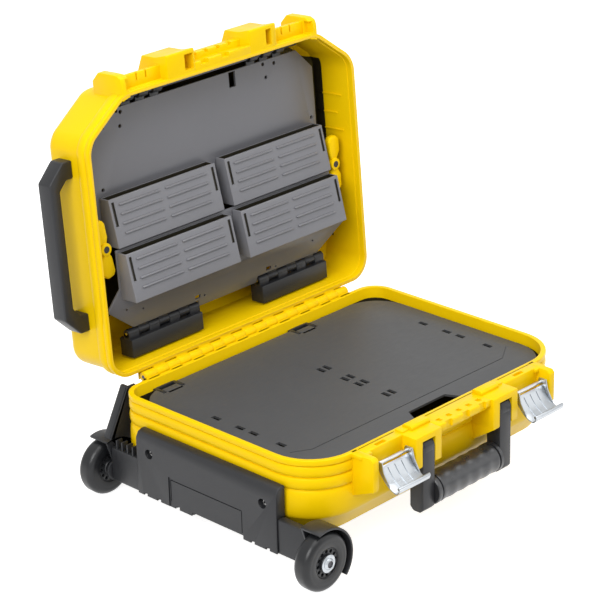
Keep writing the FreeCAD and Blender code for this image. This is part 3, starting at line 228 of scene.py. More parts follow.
class Wire:
    def __init__(self, look, socket):
        self.look = look
        self.socket = socket

    def maths(self, operation, other=None):
        sockets = {0: self} if other is None else {0: self, 1: other}
        return self.look.node("ShaderNodeMath", {"operation": operation}, sockets)

    def __add__(self, other):
        return self.maths("ADD", other)

    def __sub__(self, other):
        return self.maths("SUBTRACT", other)

    def __mul__(self, other):
        return self.maths("MULTIPLY", other)

    def __rsub__(self, other):
        return self * -1 + other

    def __lt__(self, other):
        return self.maths("LESS_THAN", other)

    def __gt__(self, other):
        return self.maths("GREATER_THAN", other)

    def __abs__(self):
        return self.maths("ABSOLUTE")

    __radd__ = __add__
    __rmul__ = __mul__


class Look:
    def __init__(self, owner, shader="Principled BSDF"):
        self.owner = owner
        owner.use_nodes = True
        self.tree = owner.node_tree
        self.shader = self.tree.nodes[shader]
        self.place = self.node("ShaderNodeTexCoord", out="Object")

    def node(self, kind, settings=None, sockets=None, out=0):
        made = self.tree.nodes.new(kind)
        for key, value in (settings or {}).items():
            setattr(made, key, value)
        self.feed(made, sockets or {})
        return Wire(self, made.outputs[out])

    def feed(self, made, sockets):
        for key, value in sockets.items():
            if isinstance(value, Wire):
                self.tree.links.new(value.socket, made.inputs[key])
            else:
                made.inputs[key].default_value = value

    def noise(self, size, detail=3.0, rough=0.55, place=None):
        return self.node("ShaderNodeTexNoise", {}, {"Vector": place or self.place, "Scale": size, "Detail": detail,
                                                    "Roughness": rough})

    def blendColour(self, factor, first, second):
        return self.node("ShaderNodeMix", {"data_type": "RGBA"}, {0: factor, 6: first, 7: second}, out=2)

    def stretched(self, scale):
        return self.node("ShaderNodeMapping", {}, {"Vector": self.place, "Scale": scale})

    def bump(self, height, strength, deep):
        return self.node("ShaderNodeBump", {}, {"Strength": strength, "Distance": deep, "Height": height})


# painted shade: near-black colour laid on the hollow insides of tray, lid and pockets
paintedShadeColour = (0.020, 0.017, 0.010, 1)


def hingeSpot(look, turn):  # millimetres from the hinge, in the shut lid's directions when turned
    place = (hingePlace @ turn @ millimetre).inverted()
    spot = look.node("ShaderNodeMapping", {}, {"Vector": look.place, "Location": place.translation,
                                               "Scale": place.to_scale(), "Rotation": place.to_euler()})
    return [look.node("ShaderNodeSeparateXYZ", {}, {"Vector": spot}, out=axis) for axis in "XYZ"]


def shellPaintedShade(look, s):  # 1 on a shell's inner walls and floor, where painted shade darkens the yellow
    x, y, z = hingeSpot(look, lidTurn if s["lid"] else Matrix.Identity(4))
    deep = z if s["lid"] else 0 - z
    corner = (y < s["middle"]) * (s["front"] - s["rear"]) + s["rear"]
    across = (abs(x) - s["halfX"] + corner).maths("MAXIMUM", 0)
    along = (abs(y - s["middle"]) - s["halfY"] + corner).maths("MAXIMUM", 0)
    away = (across * across + along * along).maths("SQRT")
    inset = (deep - s["bend"]).maths("MAXIMUM", 0) * s["spread"] + s["inset"]
    mask = (away + inset < corner) * (deep > s["near"]) * (deep < s["far"])
    if s["lid"]:  # cut corners at the lid's top, plain yellow near the hinge
        slantX, slantY, reach = s["slant"]
        mask = mask * (abs(x) * slantX - y * slantY + inset < reach) * (y < s["plainTo"])
    return mask


def pocketPaintedShade(look, s):  # 1 inside a tool pocket, where painted shade darkens the grey
    x, y, z = hingeSpot(look, lidTurn)
    skin = s["wall"] / 2
    up = 0 - y - s["low"]
    slope = (s["lowDeep"] - s["topDeep"]) / s["high"]
    front = up * slope + (s["seat"] - s["lowDeep"] + skin)
    wide = (abs(x) > s["near"] + skin) * (abs(x) < s["far"] - skin)
    return wide * (z - front > 0) * (up > skin) * (up < s["high"] - s["rim"])


def mouldedPlastic(name, s, inside=None, hollow=None):
    look = Look(bpy.data.materials.new(name))
    clouds = look.noise(14, 4.0)
    haze = look.noise(90, 5.0, 0.65)
    skin = look.noise(1500, 2.0)
    scuffs = look.noise(220, 3.0, 0.6, look.stretched((0.25, 1.0, 1.0)))
    colour = look.blendColour(clouds * 0.6 + haze * 0.4, (*s["deep"], 1), (*s["pale"], 1))
    # painted shade: where the mask is 1, the colour turns to the near-black painted shade
    if inside:
        colour = look.blendColour(inside(look, hollow), colour, paintedShadeColour)
    look.feed(look.shader, {"Base Color": colour,
                            "Roughness": s["rough"] + (haze - 0.5) * 0.16 + (scuffs - 0.5) * 0.12,
                            "Normal": look.bump(skin, 0.5, s["grain"]), "Specular IOR Level": s["shine"],
                            "Specular Tint": s.get("tint", (1, 1, 1, 1))})
    return look.owner


def platedMetal(name, s):
    look = Look(bpy.data.materials.new(name))
    streaks = look.noise(s["brush"], 3.0, 0.6, look.stretched(s["along"]))
    clouds = look.noise(60, 3.0)
    colour = look.blendColour(streaks * 0.5 + clouds * 0.5, (*s["deep"], 1), (*s["pale"], 1))
    look.feed(look.shader, {"Base Color": colour, "Metallic": 1.0,
                            "Roughness": s["rough"] + (streaks - 0.5) * 0.18 + (clouds - 0.5) * 0.1,
                            "Normal": look.bump(streaks, 0.25, 0.00004)})
    return look.owner


def softRubber(name, s):
    look = Look(bpy.data.materials.new(name))
    dust = look.noise(45, 5.0, 0.7)
    skin = look.noise(1300, 3.0)
    look.feed(look.shader, {"Base Color": look.blendColour(dust, (*s["deep"], 1), (*s["pale"], 1)),
                            "Roughness": s["rough"] + (dust - 0.5) * 0.2, "Normal": look.bump(skin, 0.6, 0.00008),
                            "IOR": s["ior"]})
    return look.owner


yellow = {"deep": (0.82, 0.525, 0.001), "pale": (0.90, 0.60, 0.002), "rough": 0.36, "grain": 0.00004, "shine": 0.3,
          "tint": (1.0, 0.8, 0.15, 1)}
# where painted shade darkens the inner walls and floor of tray and lid
trayShadeMask = {"lid": False, "halfX": 244, "halfY": 172, "middle": -180, "front": 68, "rear": 32, "inset": 5.6,
              "bend": 80, "spread": 0.6, "near": 15.8, "far": 101}
lidShadeMask = {"lid": True, "halfX": 244, "halfY": 183.5, "middle": -191.5, "front": 34, "rear": 32, "inset": 6.8,
             "bend": 72, "spread": 0.6, "near": 56, "far": 86, "slant": (0.592, 0.806, 402.6), "plainTo": -60}
yellowShell = mouldedPlastic("yellowShell", yellow)
trayYellow = mouldedPlastic("trayYellow", yellow, shellPaintedShade, trayShadeMask)
lidYellow = mouldedPlastic("lidYellow", yellow, shellPaintedShade, lidShadeMask)
# pocket grey: the plastic's own tone plus painted sheen, lifted brighter to stand in for a soft reflection
pocketToneAndSheen = {"deep": (0.150, 0.151, 0.165), "pale": (0.178, 0.179, 0.194), "rough": 0.34, "grain": 0.00006,
                "shine": 0.5}
# the grey panels' colour is the plastic's own tone plus painted sheen, lifted to stand in for a soft reflection
plastics = {"black": {"deep": (0.014, 0.0145, 0.0165), "pale": (0.022, 0.0228, 0.025), "rough": 0.40,
                      "grain": 0.00008, "shine": 0.36},
            "grey": {"deep": (0.120, 0.121, 0.133), "pale": (0.144, 0.145, 0.158), "rough": 0.36,
                     "grain": 0.00006, "shine": 0.5},
            "board": {"deep": (0.056, 0.057, 0.0595), "pale": (0.069, 0.0705, 0.073), "rough": 0.5,
                      "grain": 0.00008, "shine": 0.35}}
blackPlastic, greyPlastic, boardPlastic = [mouldedPlastic(name + "Plastic", s) for name, s in plastics.items()]
metals = {"zincPlate": {"deep": (0.36, 0.385, 0.41), "pale": (0.53, 0.555, 0.58), "rough": 0.30, "brush": 260,
                        "along": (0.15, 1.0, 1.0)},
          "brightSteel": {"deep": (0.50, 0.49, 0.48), "pale": (0.66, 0.65, 0.63), "rough": 0.28, "brush": 400,
                          "along": (0.05, 1.0, 1.0)},
          "tubeMetal": {"deep": (0.62, 0.63, 0.65), "pale": (0.74, 0.75, 0.77), "rough": 0.34, "brush": 400,
                        "along": (0.05, 1.0, 1.0)},
          "darkSteel": {"deep": (0.05, 0.05, 0.055), "pale": (0.10, 0.10, 0.11), "rough": 0.35, "brush": 300,
                        "along": (1.0, 1.0, 0.2)}}
zincPlate, brightSteel, tubeMetal, darkSteel = [platedMetal(name, s) for name, s in metals.items()]
rubbers = {"grip": {"deep": (0.016, 0.017, 0.019), "pale": (0.026, 0.027, 0.030), "rough": 0.30, "ior": 1.6},
           "tyre": {"deep": (0.007, 0.0074, 0.0085), "pale": (0.012, 0.0127, 0.014), "rough": 0.32, "ior": 1.42},
           "seal": {"deep": (0.78, 0.49, 0.003), "pale": (0.84, 0.55, 0.005), "rough": 0.5, "ior": 1.5}}
gripRubber, tyreRubber, sealRubber = [softRubber(name + "Rubber", s) for name, s in rubbers.items()]
print("finishes ready")


# camera, floor and light

cameraSettings = {"turn": -45.87, "tilt": 22.74, "roll": -1.3, "pixels": 2326.89, "away": 3144.87,
                  "aim": (66.64, 41.97), "middle": 5, "sensor": 36, "picture": 600, "sight": 30}


def makeCamera(s):
    turn, tilt, roll = (math.radians(s[k]) for k in ("turn", "tilt", "roll"))
    back = Vector((math.sin(turn) * math.cos(tilt), -math.cos(turn) * math.cos(tilt), math.sin(tilt)))
    right = Vector((math.cos(turn), math.sin(turn), 0))
    up = back.cross(right)
    across = right * math.cos(roll) + up * math.sin(roll)
    upright = up * math.cos(roll) - right * math.sin(roll)
    camera = linked("photoCamera", bpy.data.cameras.new("photoCamera"))
    camera.data.lens = s["sensor"] * s["pixels"] / s["picture"]
    camera.data.sensor_width = s["sensor"]
    camera.data.clip_end = s["sight"]
    spot = across * s["aim"][0] + upright * s["aim"][1] + back * s["away"] + Vector((s["middle"], 0, 0))
    turned = Matrix((across, upright, back)).transposed().to_4x4()
    camera.matrix_world = hingePlace @ Matrix.Translation(millimetre @ spot) @ turned
    bpy.context.scene.camera = camera


def straightRays(look):  # 1 where the camera looks, straight or in a reflection
    rays = ("Is Camera Ray", "Is Glossy Ray", "Is Transmission Ray")
    camera, glossy, clear = [look.node("ShaderNodeLightPath", out=name) for name in rays]
    return camera + glossy + clear


floorSettings = {"half": 6.0, "colour": (0.62, 0.62, 0.63, 1), "glow": 0.85, "rough": 0.9}


def makeFloor(s):
    bm = bmesh.new()
    bmesh.ops.create_grid(bm, x_segments=1, y_segments=1, size=s["half"])
    floor = linked("floor", toMesh(bm, "floor"))
    look = Look(bpy.data.materials.new("studioFloor"))
    glow = look.blendColour(straightRays(look), (0, 0, 0, 1), (1, 1, 1, 1))
    look.feed(look.shader, {"Base Color": s["colour"], "Roughness": s["rough"], "Emission Color": glow,
                            "Emission Strength": s["glow"]})
    floor.data.materials.append(look.owner)


worldSettings = {"seen": 1.0, "light": 0.5}


def makeWorld(s):
    look = Look(bpy.data.worlds.new("studio"), "Background")
    bright = straightRays(look) * (s["seen"] - s["light"]) + s["light"]
    look.feed(look.shader, {"Color": (1, 1, 1, 1), "Strength": bright})
    bpy.context.scene.world = look.owner


lampSettings = {"key": {"from": (-2.2, -0.9, 2.0), "size": 1.6, "watts": 56},
                "top": {"from": (0.2, -0.5, 2.6), "size": 2.4, "watts": 44},
                "fill": {"from": (1.6, -2.0, 1.3), "size": 1.8, "watts": 8}}
lampAim = Vector((0, 0, 0.25))


def makeLamps(s):
    for name, lamp in s.items():
        made = linked(name + "Lamp", bpy.data.lights.new(name + "Lamp", "AREA"))
        made.data.energy = lamp["watts"]
        made.data.size = lamp["size"]
        spot = Vector(lamp["from"])
        turn = (spot - lampAim).to_track_quat("Z", "Y")
        made.matrix_world = Matrix.Translation(spot) @ turn.to_matrix().to_4x4()


makeCamera(cameraSettings)
makeFloor(floorSettings)
makeWorld(worldSettings)
makeLamps(lampSettings)
bpy.context.scene.view_settings.view_transform = "Standard"
print("camera, floor and lamps ready")


# tray

bulge = ((0.0, 1.0), (0.02, 0.72), (0.06, 0.45), (0.14, 0.2), (0.28, 0.06), (0.5, 0.0), (0.72, 0.06), (0.86, 0.2),
         (0.94, 0.45), (0.98, 0.72), (1.0, 1.0))

traySettings = {"half": 244, "front": -352, "rear": -8, "radii": (68, 68, 32, 32),
                "bands": (16, 17, 40), "lip": 7, "groove": 3.5, "seam": 1.0,
                "inside": [(-99, 23), (-97, 21.4), (-80, 8), (-0.9, 7.0), (-0.25, 6.8)],
                "rim": [(0, 6.2), (0, 0.9), (-0.25, 0.25), (-0.9, 0), (-6.2, 0), (-6.85, 0.25), (-7.0, 0.9)],
                "foot": [(-100, 14.4), (-102.2, 15.8), (-103, 18)]}


def trayCorners(s):
    return [(-s["half"], s["front"]), (s["half"], s["front"]), (s["half"], s["rear"]), (-s["half"], s["rear"])]


def trayBands(s):
    levels = []
    top = -s["lip"]
    for band in s["bands"]:
        start, bottom = top - s["seam"], top - band
        levels += [(start + (bottom - start) * along, s["groove"] * deep) for along, deep in bulge]
        top -= band
    return levels


def trayShell(s):
    return tub(trayCorners(s), s["radii"], s["inside"] + s["rim"] + trayBands(s) + s["foot"])


hingeSettings = {"radius": 7.0, "long": 20.3, "count": 19, "web": 12, "play": 0.06,
                 "ledge": (193, -10, 5, 7.6, 9.6)}


def knuckles(s, first, low, high):
    parts = []
    start = -s["count"] * s["long"] / 2
    for i in range(first, s["count"], 2):
        x0, x1 = start + i * s["long"] + s["play"], start + (i + 1) * s["long"] - s["play"]
        parts.append(rod("x", x0, x1, 0, 0, s["radius"], 0.8, 32))
        parts.append(slab(x0, x1, -s["web"], 0, low, high, 0.6))
    return parts


def hingeLedge(s, side):  # closes the view between knuckles and wall
    half, y0, y1, z0, z1 = s["ledge"]
    return slab(-half, half, y0, y1, side * z0, side * z1, 0.4)


frontSettings = {"inner": -348.5, "railHalf": 50.5, "railFace": -382, "railHoles": (-38, -19, 0, 19, 38),
                 "railCuts": (-31, 2, 34), "shelf": -364, "shelfEnds": (98, 166), "shelfLow": -28,
                 "bay": (124, 142, -361, -355), "pillar": (165, 176), "pillarFace": -385, "pad": (158, 178, -368, -0.3),
                 "boss": (50, 99), "bossFace": -386, "arm": (62.5, 86.5), "lug": (50, 84), "step": (84, 97)}


def frontRail(s):
    half, face, inner = s["railHalf"], s["railFace"], s["inner"]
    notches = [slab(x - 3.5, x + 3.5, -374, -367, -3, 4) for x in s["railHoles"]]
    notches += [slab(x - 6, x + 6, face - 3, face + 3.5, -12, 4) for x in s["railCuts"]]
    rail = carve(slab(-half, half, face, inner, -9, 0, 1.2), *notches)
    return [rail, slab(-half, half, face + 5, inner, -14, -8, 1.0)]


def trayFront(s):
    inner = s["inner"]
    parts = frontRail(s)
    for side in sides:
        shelf = slab(*pair(side, *s["shelfEnds"]), s["shelf"], inner, s["shelfLow"], 0, 1.2)
        near, far, y0, y1 = s["bay"]
        parts.append(carve(shelf, slab(*pair(side, near, far), y0, y1, -4, 4)))
        face = s["pillarFace"]
        outline = [(-347, 0), (face + 4, 0), (face, -4), (face, -44), (-352, -58), (-347, -58)]
        parts.append(prism(outline, "x", *pair(side, *s["pillar"]), 1.4))
        near, far, y0, top = s["pad"]  # just under the shut lid
        parts.append(slab(*pair(side, near, far), y0, inner, -5, top, 0.8))
        face = s["bossFace"]
        outline = [(inner, 0), (face, 0), (face, -42), (inner, -42)]
        block = prism(outline, "x", *pair(side, *s["boss"]), 1.6)
        parts.append(carve(block, slab(*pair(side, *s["arm"]), face - 4, -363, -60, -8)))
        web = [(face, -40), (face, -42), (-352, -66), (-347, -66), (-347, -40)]
        for near, far in ((s["boss"][0], s["arm"][0]), (s["arm"][1], s["boss"][1])):
            parts.append(prism(web, "x", *pair(side, near + 0.3, far - 0.3), 0.8))
        lug = [(-350, -1), (-350, 3.5), (-352.5, 5.5), (-364, 5.5), (-366.5, 3.5), (-366.5, -1)]
        parts.append(prism(lug, "x", *pair(side, *s["lug"]), 0.8))
        parts.append(slab(*pair(side, *s["step"]), -362, -350, -1, 2.2, 0.8))
    return parts


tray = together(trayShell(traySettings), *knuckles(hingeSettings, 0, -7, 0), hingeLedge(hingeSettings, -1),
                *trayFront(frontSettings))
finishPiece(tray, "trayShell", "base", trayYellow, ["base_shell"])
print("tray made")


# work board

boardSettings = {"inset": 12, "top": -12.4, "thick": 3, "rearRadius": 66, "notch": (-44, 62, 18, 30),
                 "rows": (140.5, 182.6, 206.7, 254.1), "columns": (-198.4, -5.5, 5.5, 198.4), "slot": (7, 14),
                 "past": 3, "clips": (-172, 79), "clipCut": (19.3, -37.2), "lugHalf": 12.7, "pin": (-26, -19),
                 "line": ((-207, -277), (-182, -291), (180, -295), (212, -275))}


def workBoard(s):
    inset, top, low = s["inset"], s["top"], s["top"] - s["thick"]
    under, over = low - s["past"], top + s["past"]
    radii = (*traySettings["radii"][:2], s["rearRadius"], s["rearRadius"])
    board = tub(trayCorners(traySettings), radii, [(low, inset + 0.6), (low + 0.6, inset), (top - 0.8, inset),
                                                   (top - 0.25, inset + 0.25), (top, inset + 0.9)])
    edge = traySettings["front"] + inset
    left, right, slope, deep = s["notch"]
    notch = [(left, edge - 5), (right, edge - 5), (right - slope, edge + deep), (left + slope, edge + deep)]
    cutters = [prism(notch, "z", under, over)]
    long, tall = s["slot"]
    for row in s["rows"]:
        for x in s["columns"]:
            cutters.append(slab(x - long / 2, x + long / 2, -row - tall / 2, -row + tall / 2, under, over))
    half, rear = s["clipCut"]
    for x in s["clips"]:
        cutters.append(slab(x - half, x + half, rear, 0, under, over))
    board = carve(board, *cutters)
    for (x0, y0), (x1, y1) in zip(s["line"], s["line"][1:]):  # engraved line along the front
        turn = Matrix.Rotation(math.atan2(y1 - y0, x1 - x0), 4, "Z")
        line = slab(0, math.hypot(x1 - x0, y1 - y0), -0.6, 0.6, top - 0.8, over)
        board = carve(board, moved(line, Matrix.Translation((x0, y0, 0)) @ turn))
    lugs = []
    for x in s["clips"]:
        x0, x1, (y, z) = x - s["lugHalf"], x + s["lugHalf"], s["pin"]
        lugs.append(rod("x", x0, x1, y, z, 4.5, 0.5, 24))
        lugs.append(slab(x0, x1, y - 15, y, z - 4.5, top, 0.5))
    return together(board, *lugs)


finishPiece(workBoard(boardSettings), "workBoard", "work_board", boardPlastic, ["work_board"])


def boardClips(s):
    parts = []
    for x in s["clips"]:
        for x0, x1 in ((x - 19, x - 13), (x + 13, x + 19)):
            parts.append(slab(x0, x1, -35, -15.4, -35, s["top"], 1.2))
        parts.append(slab(x - 13.5, x + 13.5, -18.8, -15.4, -35, s["top"], 0.6))
        parts.append(slab(x - 13.5, x + 13.5, -35, -15.4, -35, -29, 0.6))
    return together(*parts)


finishPiece(boardClips(boardSettings), "boardClips", "base", blackPlastic, ["board_hinge_blocks"])
print("work board made")


# wheel end

coverSettings = {"face": -261, "back": -245, "top": -33, "low": -122, "ends": (-304, -56), "bevel": 10, "thick": 3,
                 "beamTop": -75, "screws": (-280.5, -79.5), "screwDrop": -60, "panel": (-246, -114, -80), "border": 3,
                 "step": (-246, -154), "notches": (-70, -95, -128, -262, -288)}


def lowNotches(s):  # cut from the lower edge of cover and beam
    face, low = s["face"], s["low"]
    cuts = [slab(face - 4, face + 40, *s["step"], low - 5, low + 5)]
    return cuts + [slab(face - 4, face + 9, y - 3.5, y + 3.5, low - 5, low + 4) for y in s["notches"]]


def wheelCover(s):
    face, back, top, low = s["face"], s["back"], s["top"], s["low"]
    inner, bevel = face + s["thick"], s["bevel"]
    outline = [(back, top), (face + bevel, top), (face + 4, top - 2.4), (face, top - bevel), (face, low), (inner, low),
               (inner, s["beamTop"]), (back, s["beamTop"])]
    p0, p1, pTop = s["panel"]
    cutters = [slab(face - 4, face + 1.4, p0, p1, low - 5, pTop)]
    cutters += [rod("x", face - 4, face + 6.4, y, s["screwDrop"], 6.6) for y in s["screws"]]
    body = carve(prism(outline, "y", *s["ends"], 1.6, 3), *cutters)
    b0, b1, bTop = p0 + s["border"], p1 - s["border"], pTop - s["border"]
    body = carve(body, slab(face - 4, face + 2.6, b0, b1, bTop - 1.4, bTop), *lowNotches(s))
    return carve(body, *[slab(face - 4, face + 2.6, y - 0.6, y + 0.6, low + 8, bTop - 1.5) for y in (b0, b1)])


finishPiece(wheelCover(coverSettings), "wheelCover", "base", blackPlastic, ["wheel_cover"])


def coverScrews(s):
    parts = []
    for y in s["screws"]:
        face, z = s["face"], s["screwDrop"]
        profile = [(face + 9, 0), (face + 9, 4.6), (face + 6, 4.6), (face + 4.8, 3.4), (face + 4.6, 0)]
        parts.append(carve(lathe(profile, "x", y, z, 32), rod("x", face, face + 6.4, y, z, 1.9, 0, 6)))
    return together(*parts)


finishPiece(coverScrews(coverSettings), "coverScrews", "base", brightSteel, ["cover_screws"])

beamSettings = {"face": -258, "foot": -209, "low": -122, "high": -75, "ends": (-348, -4), "fins": (-14, -24, -34, -44)}


def axleBeam(s):
    outline = [(s["face"], s["low"]), (s["foot"], s["low"]), (s["foot"], -103), (-244, -103), (-246, s["high"]),
               (s["face"], s["high"])]
    fins = [slab(-257, -247, y - 1.2, y + 1.2, s["high"] - 2, s["high"] + 12, 0.4) for y in s["fins"]]
    beam = carve(prism(outline, "y", *s["ends"], 2.0), *lowNotches(coverSettings))
    return together(beam, *fins)


finishPiece(axleBeam(beamSettings), "axleBeam", "base", blackPlastic, ["axle_beam"])

wheelSettings = {"x": -251, "z": -110, "radius": 38, "tread": 8, "holes": 12, "holeRing": 15.2, "holeRadius": 2.5,
                 "front": (-379, -355), "rear": (5, 29)}


def tyreRing(s, end):
    y0, y1 = s[end]
    deep = s["tread"]
    turns = [math.pi / 2 * (1 - k / 6) for k in range(7)]
    tread = [(y0 + deep - deep * math.sin(a), s["radius"] - deep + deep * math.cos(a)) for a in turns]
    back = [(y1 - (y - y0), r) for y, r in reversed(tread)]
    profile = [(y0 + 2, 19), (y0 + 0.6, 20), (y0, 21.5), (y0, 27), (y0 + 0.2, 28.6)] + tread + back
    profile += [(y1 - 0.2, 28.6), (y1, 27), (y1, 21.5), (y1 - 0.6, 20), (y1 - 2, 19), (y0 + 2, 19)]
    return lathe(profile, "y", s["x"], s["z"], 72)


def wheelHub(s, end):
    y0, y1 = s[end]
    profile = [(y0 + 1, 4.3), (y0 + 1, 9), (y0 + 2.2, 10), (y0 + 2.2, 18.2), (y0 + 1, 18.6), (y0 + 1, 19.1),
               (y1 - 1, 19.1), (y1 - 1, 18.6), (y1 - 2.2, 18.2), (y1 - 2.2, 10), (y1 - 1, 9), (y1 - 1, 4.3),
               (y0 + 1, 4.3)]
    body = lathe(profile, "y", s["x"], s["z"], 60)
    cutters = []
    for i in range(s["holes"]):
        turn = 2 * math.pi * i / s["holes"]
        x, z = s["x"] + s["holeRing"] * math.cos(turn), s["z"] + s["holeRing"] * math.sin(turn)
        cutters.append(rod("y", y0 - 2, y1 + 2, x, z, s["holeRadius"], 0, 16))
    return carve(body, *cutters)


for end in ("front", "rear"):
    finishPiece(tyreRing(wheelSettings, end), end + "Tyre", end + "_wheel", tyreRubber, [end + "_tyre"])
    finishPiece(wheelHub(wheelSettings, end), end + "Hub", end + "_wheel", blackPlastic,
                [end + "_hub"])


def axleCaps(s):
    parts = []
    for end, out in (("front", -1), ("rear", 1)):
        face = s[end][0] if out < 0 else s[end][1]
        ring = [(0.3, 4.4), (0.3, 11.6), (1.4, 11.5), (2.4, 9.8), (2.0, 7.6), (3.6, 6.4), (4.6, 5.2), (4.2, 4.5),
                (0.3, 4.4)]
        parts.append(lathe([(face + out * along, radius) for along, radius in ring], "y", s["x"], s["z"], 48))
    return together(*parts)


finishPiece(axleCaps(wheelSettings), "axleCaps", "base", zincPlate, ["axle_caps"])

fenderSettings = {"inner": 42, "thick": 3, "span": (-42, 108), "plate": 3, "front": (-348, -379), "rear": (-4, 29)}


def fenderArc(s, inner, outer, y0, y1):
    bm = bmesh.new()
    x, z = wheelSettings["x"], wheelSettings["z"]
    low, high = (math.radians(a) for a in s["span"])
    corners = ((inner, y0), (outer, y0), (outer, y1), (inner, y1))
    ring = [bm.verts.new((x + r * math.cos(low), y, z + r * math.sin(low))) for r, y in corners]
    edges = [bm.edges.new((ring[i], ring[(i + 1) % 4])) for i in range(4)]
    bmesh.ops.spin(bm, geom=ring + edges, cent=(x, 0, z), axis=(0, -1, 0), angle=high - low, steps=30)
    bmesh.ops.holes_fill(bm, edges=bm.edges, sides=4)
    bmesh.ops.recalc_face_normals(bm, faces=bm.faces)
    return soften(bm, 0.7)


def fender(s, end):
    near, far = s[end]
    y0, y1 = sorted((near, far))
    outer = s["inner"] + s["thick"]
    plate0, plate1 = sorted((near, near + math.copysign(s["plate"], far - near)))
    parts = [fenderArc(s, s["inner"], outer, y0, y1), fenderArc(s, 4.4, outer - 0.2, plate0, plate1)]
    x, z = wheelSettings["x"], wheelSettings["z"]
    parts.append(rod("y", plate0, plate1, x, z, 14, 0.6))
    if end == "rear":
        crown = z + outer - 1.5
        parts.append(prism([(x - 7, crown), (x + 34, z), (-210, -2), (-224, -2)], "y", plate0, plate0 + 4, 1.0))
        parts.append(prism([(x - 7, crown), (x + 1, crown), (-220, -2), (-224, -2)], "y", plate0, plate0 + 14, 1.2))
    return together(*parts)


for end in ("front", "rear"):
    finishPiece(fender(fenderSettings, end), end + "Fender", "base", blackPlastic, [end + "_fender"])
print("wheel end made")


# pull handle under the tray

pullSettings = {"tubes": (-255, -105), "z": -112.5, "wall": 0.9, "bore": 7.2,
                "outer": (-238, 237, 7), "middle": (-222, 237, 6.05), "inner": (-206, 247, 5.1),
                "pocket": (240, 259, -197.4, -162.6, -118.4, -106.6),
                "block": (191, 237, -270, -90, -138, -103), "bar": (238, 252, -124.5, -100.5, -269, -91),
                "button": (245, 254.5, -197, -163, -118, -107), "feet": (214, (-245, -115)),
                "foot": [(-138, 0), (-138, 14), (-146.5, 13.4), (-148, 12), (-148, 5.4), (-141, 5.2), (-141, 0)]}


def hollowTubes(s, name):
    x0, x1, radius = s[name]
    bore = radius - s["wall"]
    profile = [(x0, bore), (x0, radius), (x1, radius), (x1, bore), (x0, bore)]
    return together(*[lathe(profile, "x", y, s["z"], 32) for y in s["tubes"]])


for name, body in (("outer", "base"), ("middle", "middle_stage"), ("inner", "pull_stage")):
    finishPiece(hollowTubes(pullSettings, name), name + "Tubes", body, tubeMetal, [name + "_tubes"])


def endBlock(s):
    cutters = [rod("x", 180, 250, y, s["z"], s["bore"]) for y in s["tubes"]]
    return carve(slab(*s["block"], 3.0, 3), *cutters)


finishPiece(endBlock(pullSettings), "tubeEndBlock", "base", blackPlastic, ["tube_end_block"])


def pullBar(s):
    x0, x1, z0, z1, y0, y1 = s["bar"]
    bar = prism([(x0, z0), (x1, z0), (x1, z1), (x0, z1)], "y", y0, y1, 3.0, 3)
    return carve(bar, slab(*s["pocket"]))


finishPiece(pullBar(pullSettings), "pullBar", "pull_stage", blackPlastic, ["pull_bar"])
finishPiece(slab(*pullSettings["button"], 1.4, 3), "releaseButton", "release_button", yellowShell,
            ["release_button"])


def rubberFeet(s):
    x, places = s["feet"]
    return together(*[lathe(s["foot"], "z", x, y, 40) for y in places])


finishPiece(rubberFeet(pullSettings), "rubberFeet", "base", gripRubber, ["rubber_feet"])
print("pull handle made")


# latches and carry handle

latchSettings = {"rod": (-375.5, -14.5), "rodEnds": (96, 171), "rodRadius": 2.5, "span": (103, 159.5), "thick": 1.6,
                 "grooves": (0.25, 0.47, 0.69),
                 "curve": ((-2.6, -3.4), (-5.5, -6.5), (-9.3, -12.3), (-13.5, -17.5), (-17.3, -21.3), (-21.5, -24.5),
                           (-26.5, -27.2), (-32, -28.5), (-34.8, -26.4), (-36.5, -21.5)),
                 "cheek": ((4.5, 0.5), (2.5, 5.0), (-8.8, 5.0), (-12.0, -8.0), (-21.5, -24.5), (-13.5, -17.5),
                           (-5.5, -6.5), (3.0, -4.0))}


def shifted(points, far):
    line = []
    for i, (y, z) in enumerate(points):
        (y0, z0), (y1, z1) = points[max(i - 1, 0)], points[min(i + 1, len(points) - 1)]
        long = math.hypot(y1 - y0, z1 - z0)
        line.append((y - far * (z1 - z0) / long, z + far * (y1 - y0) / long))
    return line


def latch(s, side):
    y, z = s["rod"]
    x0, x1 = pair(side, *s["span"])
    thick = s["thick"]
    spot = lambda points: [(y + a, z + b) for a, b in points]
    sheet = prism(spot(list(s["curve"]) + shifted(s["curve"], thick)[::-1]), "x", x0, x1, 0.4)
    run = s["curve"][1:7]
    groove = spot(shifted(run, -3) + shifted(run, 0.9)[::-1])
    places = [x0 + (x1 - x0) * k for k in s["grooves"]]
    parts = [carve(sheet, *[prism(groove, "x", x - 0.8, x + 0.8) for x in places])]
    for c0 in (x0, x1 - thick):
        parts.append(prism(spot(s["cheek"]), "x", c0, c0 + thick, 0.4))
    tip = spot([s["curve"][-1]])[0]
    parts.append(rod("x", x0, x1, tip[0] + 1.0, tip[1], 1.9, 0.4, 20))
    return together(*parts)


def latchRods(s):
    return together(*[rod("x", *pair(side, *s["rodEnds"]), *s["rod"], s["rodRadius"], 0.5, 28) for side in sides])


for side, name in sideName.items():
    finishPiece(latch(latchSettings, side), name + "Latch", name + "_latch", zincPlate, [name + "_latch"])
finishPiece(latchRods(latchSettings), "latchRods", "base", brightSteel, ["latch_rods"])

handleSettings = {"y": -375, "pin": -20, "grip": -86, "arm": (63.5, 85.5), "half": 11, "low": -108}


